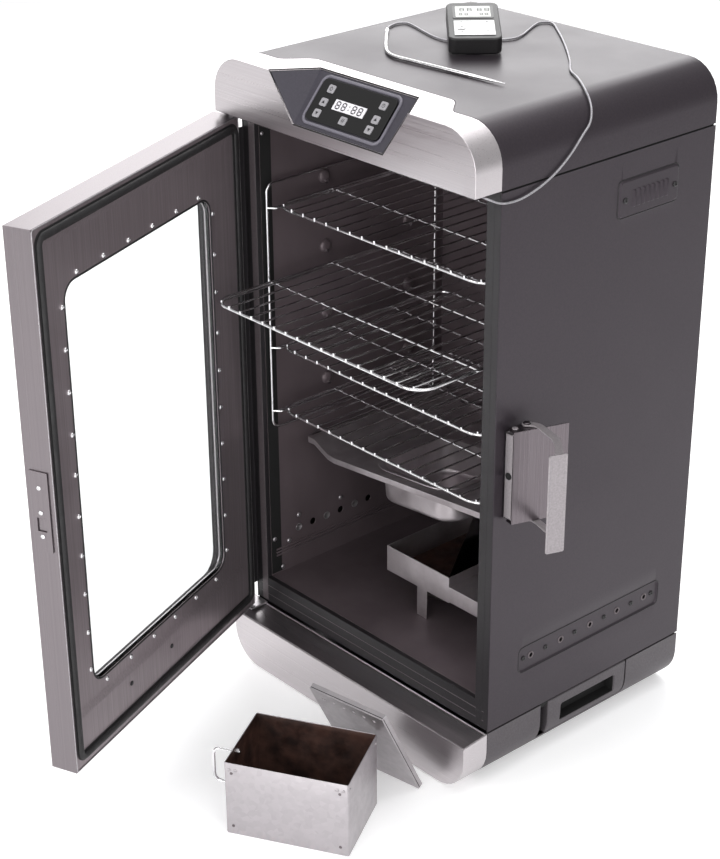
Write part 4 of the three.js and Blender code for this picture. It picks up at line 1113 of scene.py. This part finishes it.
# ------------------------------------------------------------------ floor and light
bpy.ops.mesh.primitive_plane_add(size=14, location=(0, 0, 0))
floor = bpy.context.object
floor.name = "floor"
m = Mat("floor_pale", 0.7)
m.color(m.mix(m.ramp(m.noise(3, 3), 0.3, 0.7, 0, 1), (0.86, 0.86, 0.87, 1), (0.9, 0.9, 0.9, 1)))
m.b.inputs["Emission Color"].default_value = (1, 1, 1, 1)
m.b.inputs["Emission Strength"].default_value = 0.3
floor.data.materials.append(m.m)

w = bpy.data.worlds.new("studio")
bpy.context.scene.world = w
w.use_nodes = True
t = w.node_tree
t.nodes.clear()
out = t.nodes.new("ShaderNodeOutputWorld")
mixs = t.nodes.new("ShaderNodeMixShader")
lp = t.nodes.new("ShaderNodeLightPath")
bg1, bg2 = t.nodes.new("ShaderNodeBackground"), t.nodes.new("ShaderNodeBackground")
tc = t.nodes.new("ShaderNodeTexCoord")
sx = t.nodes.new("ShaderNodeSeparateXYZ")
mr = t.nodes.new("ShaderNodeMapRange")
mr.inputs["From Min"].default_value, mr.inputs["From Max"].default_value = -0.2, 0.9
mr.inputs["To Min"].default_value, mr.inputs["To Max"].default_value = 0.7, 1.05
t.links.new(tc.outputs["Generated"], sx.inputs[0])
t.links.new(sx.outputs["Z"], mr.inputs["Value"])
t.links.new(mr.outputs[0], bg1.inputs["Color"])
bg1.inputs["Strength"].default_value = 0.62
bg2.inputs["Color"].default_value = (1, 1, 1, 1)
t.links.new(lp.outputs["Is Camera Ray"], mixs.inputs[0])
t.links.new(bg1.outputs[0], mixs.inputs[1])
t.links.new(bg2.outputs[0], mixs.inputs[2])
t.links.new(mixs.outputs[0], out.inputs[0])


def area(name, loc, target, size, power, color=(1, 1, 1)):
    L = bpy.data.lights.new(name, "AREA")
    L.shape, L.size, L.size_y, L.energy, L.color = "RECTANGLE", size[0], size[1], power, color
    o = bpy.data.objects.new(name, L)
    bpy.context.scene.collection.objects.link(o)
    o.location = loc
    o.rotation_mode = "QUATERNION"
    o.rotation_quaternion = (Vector(target) - Vector(loc)).to_track_quat("-Z", "Y")
    return o


area("key", (-1.2, -3.4, 2.0), (0, 0, 0.45), (2.0, 2.0), 46)
area("rear", (-2.05, 1.9, 2.3), (0, 0, 0.8), (2.6, 2.6), 58)
area("chamber", (1.1, -2.7, 0.9), (0, 0, 0.5), (1.0, 1.4), 24)
area("fill", (3.0, -1.0, 1.6), (0, 0, 0.45), (1.8, 2.4), 30)
area("top", (0.2, 0.4, 3.2), (0, 0, 0.4), (2.4, 2.4), 38)
bpy.context.scene.view_settings.view_transform = "Standard"
bpy.context.scene.view_settings.look = "None"
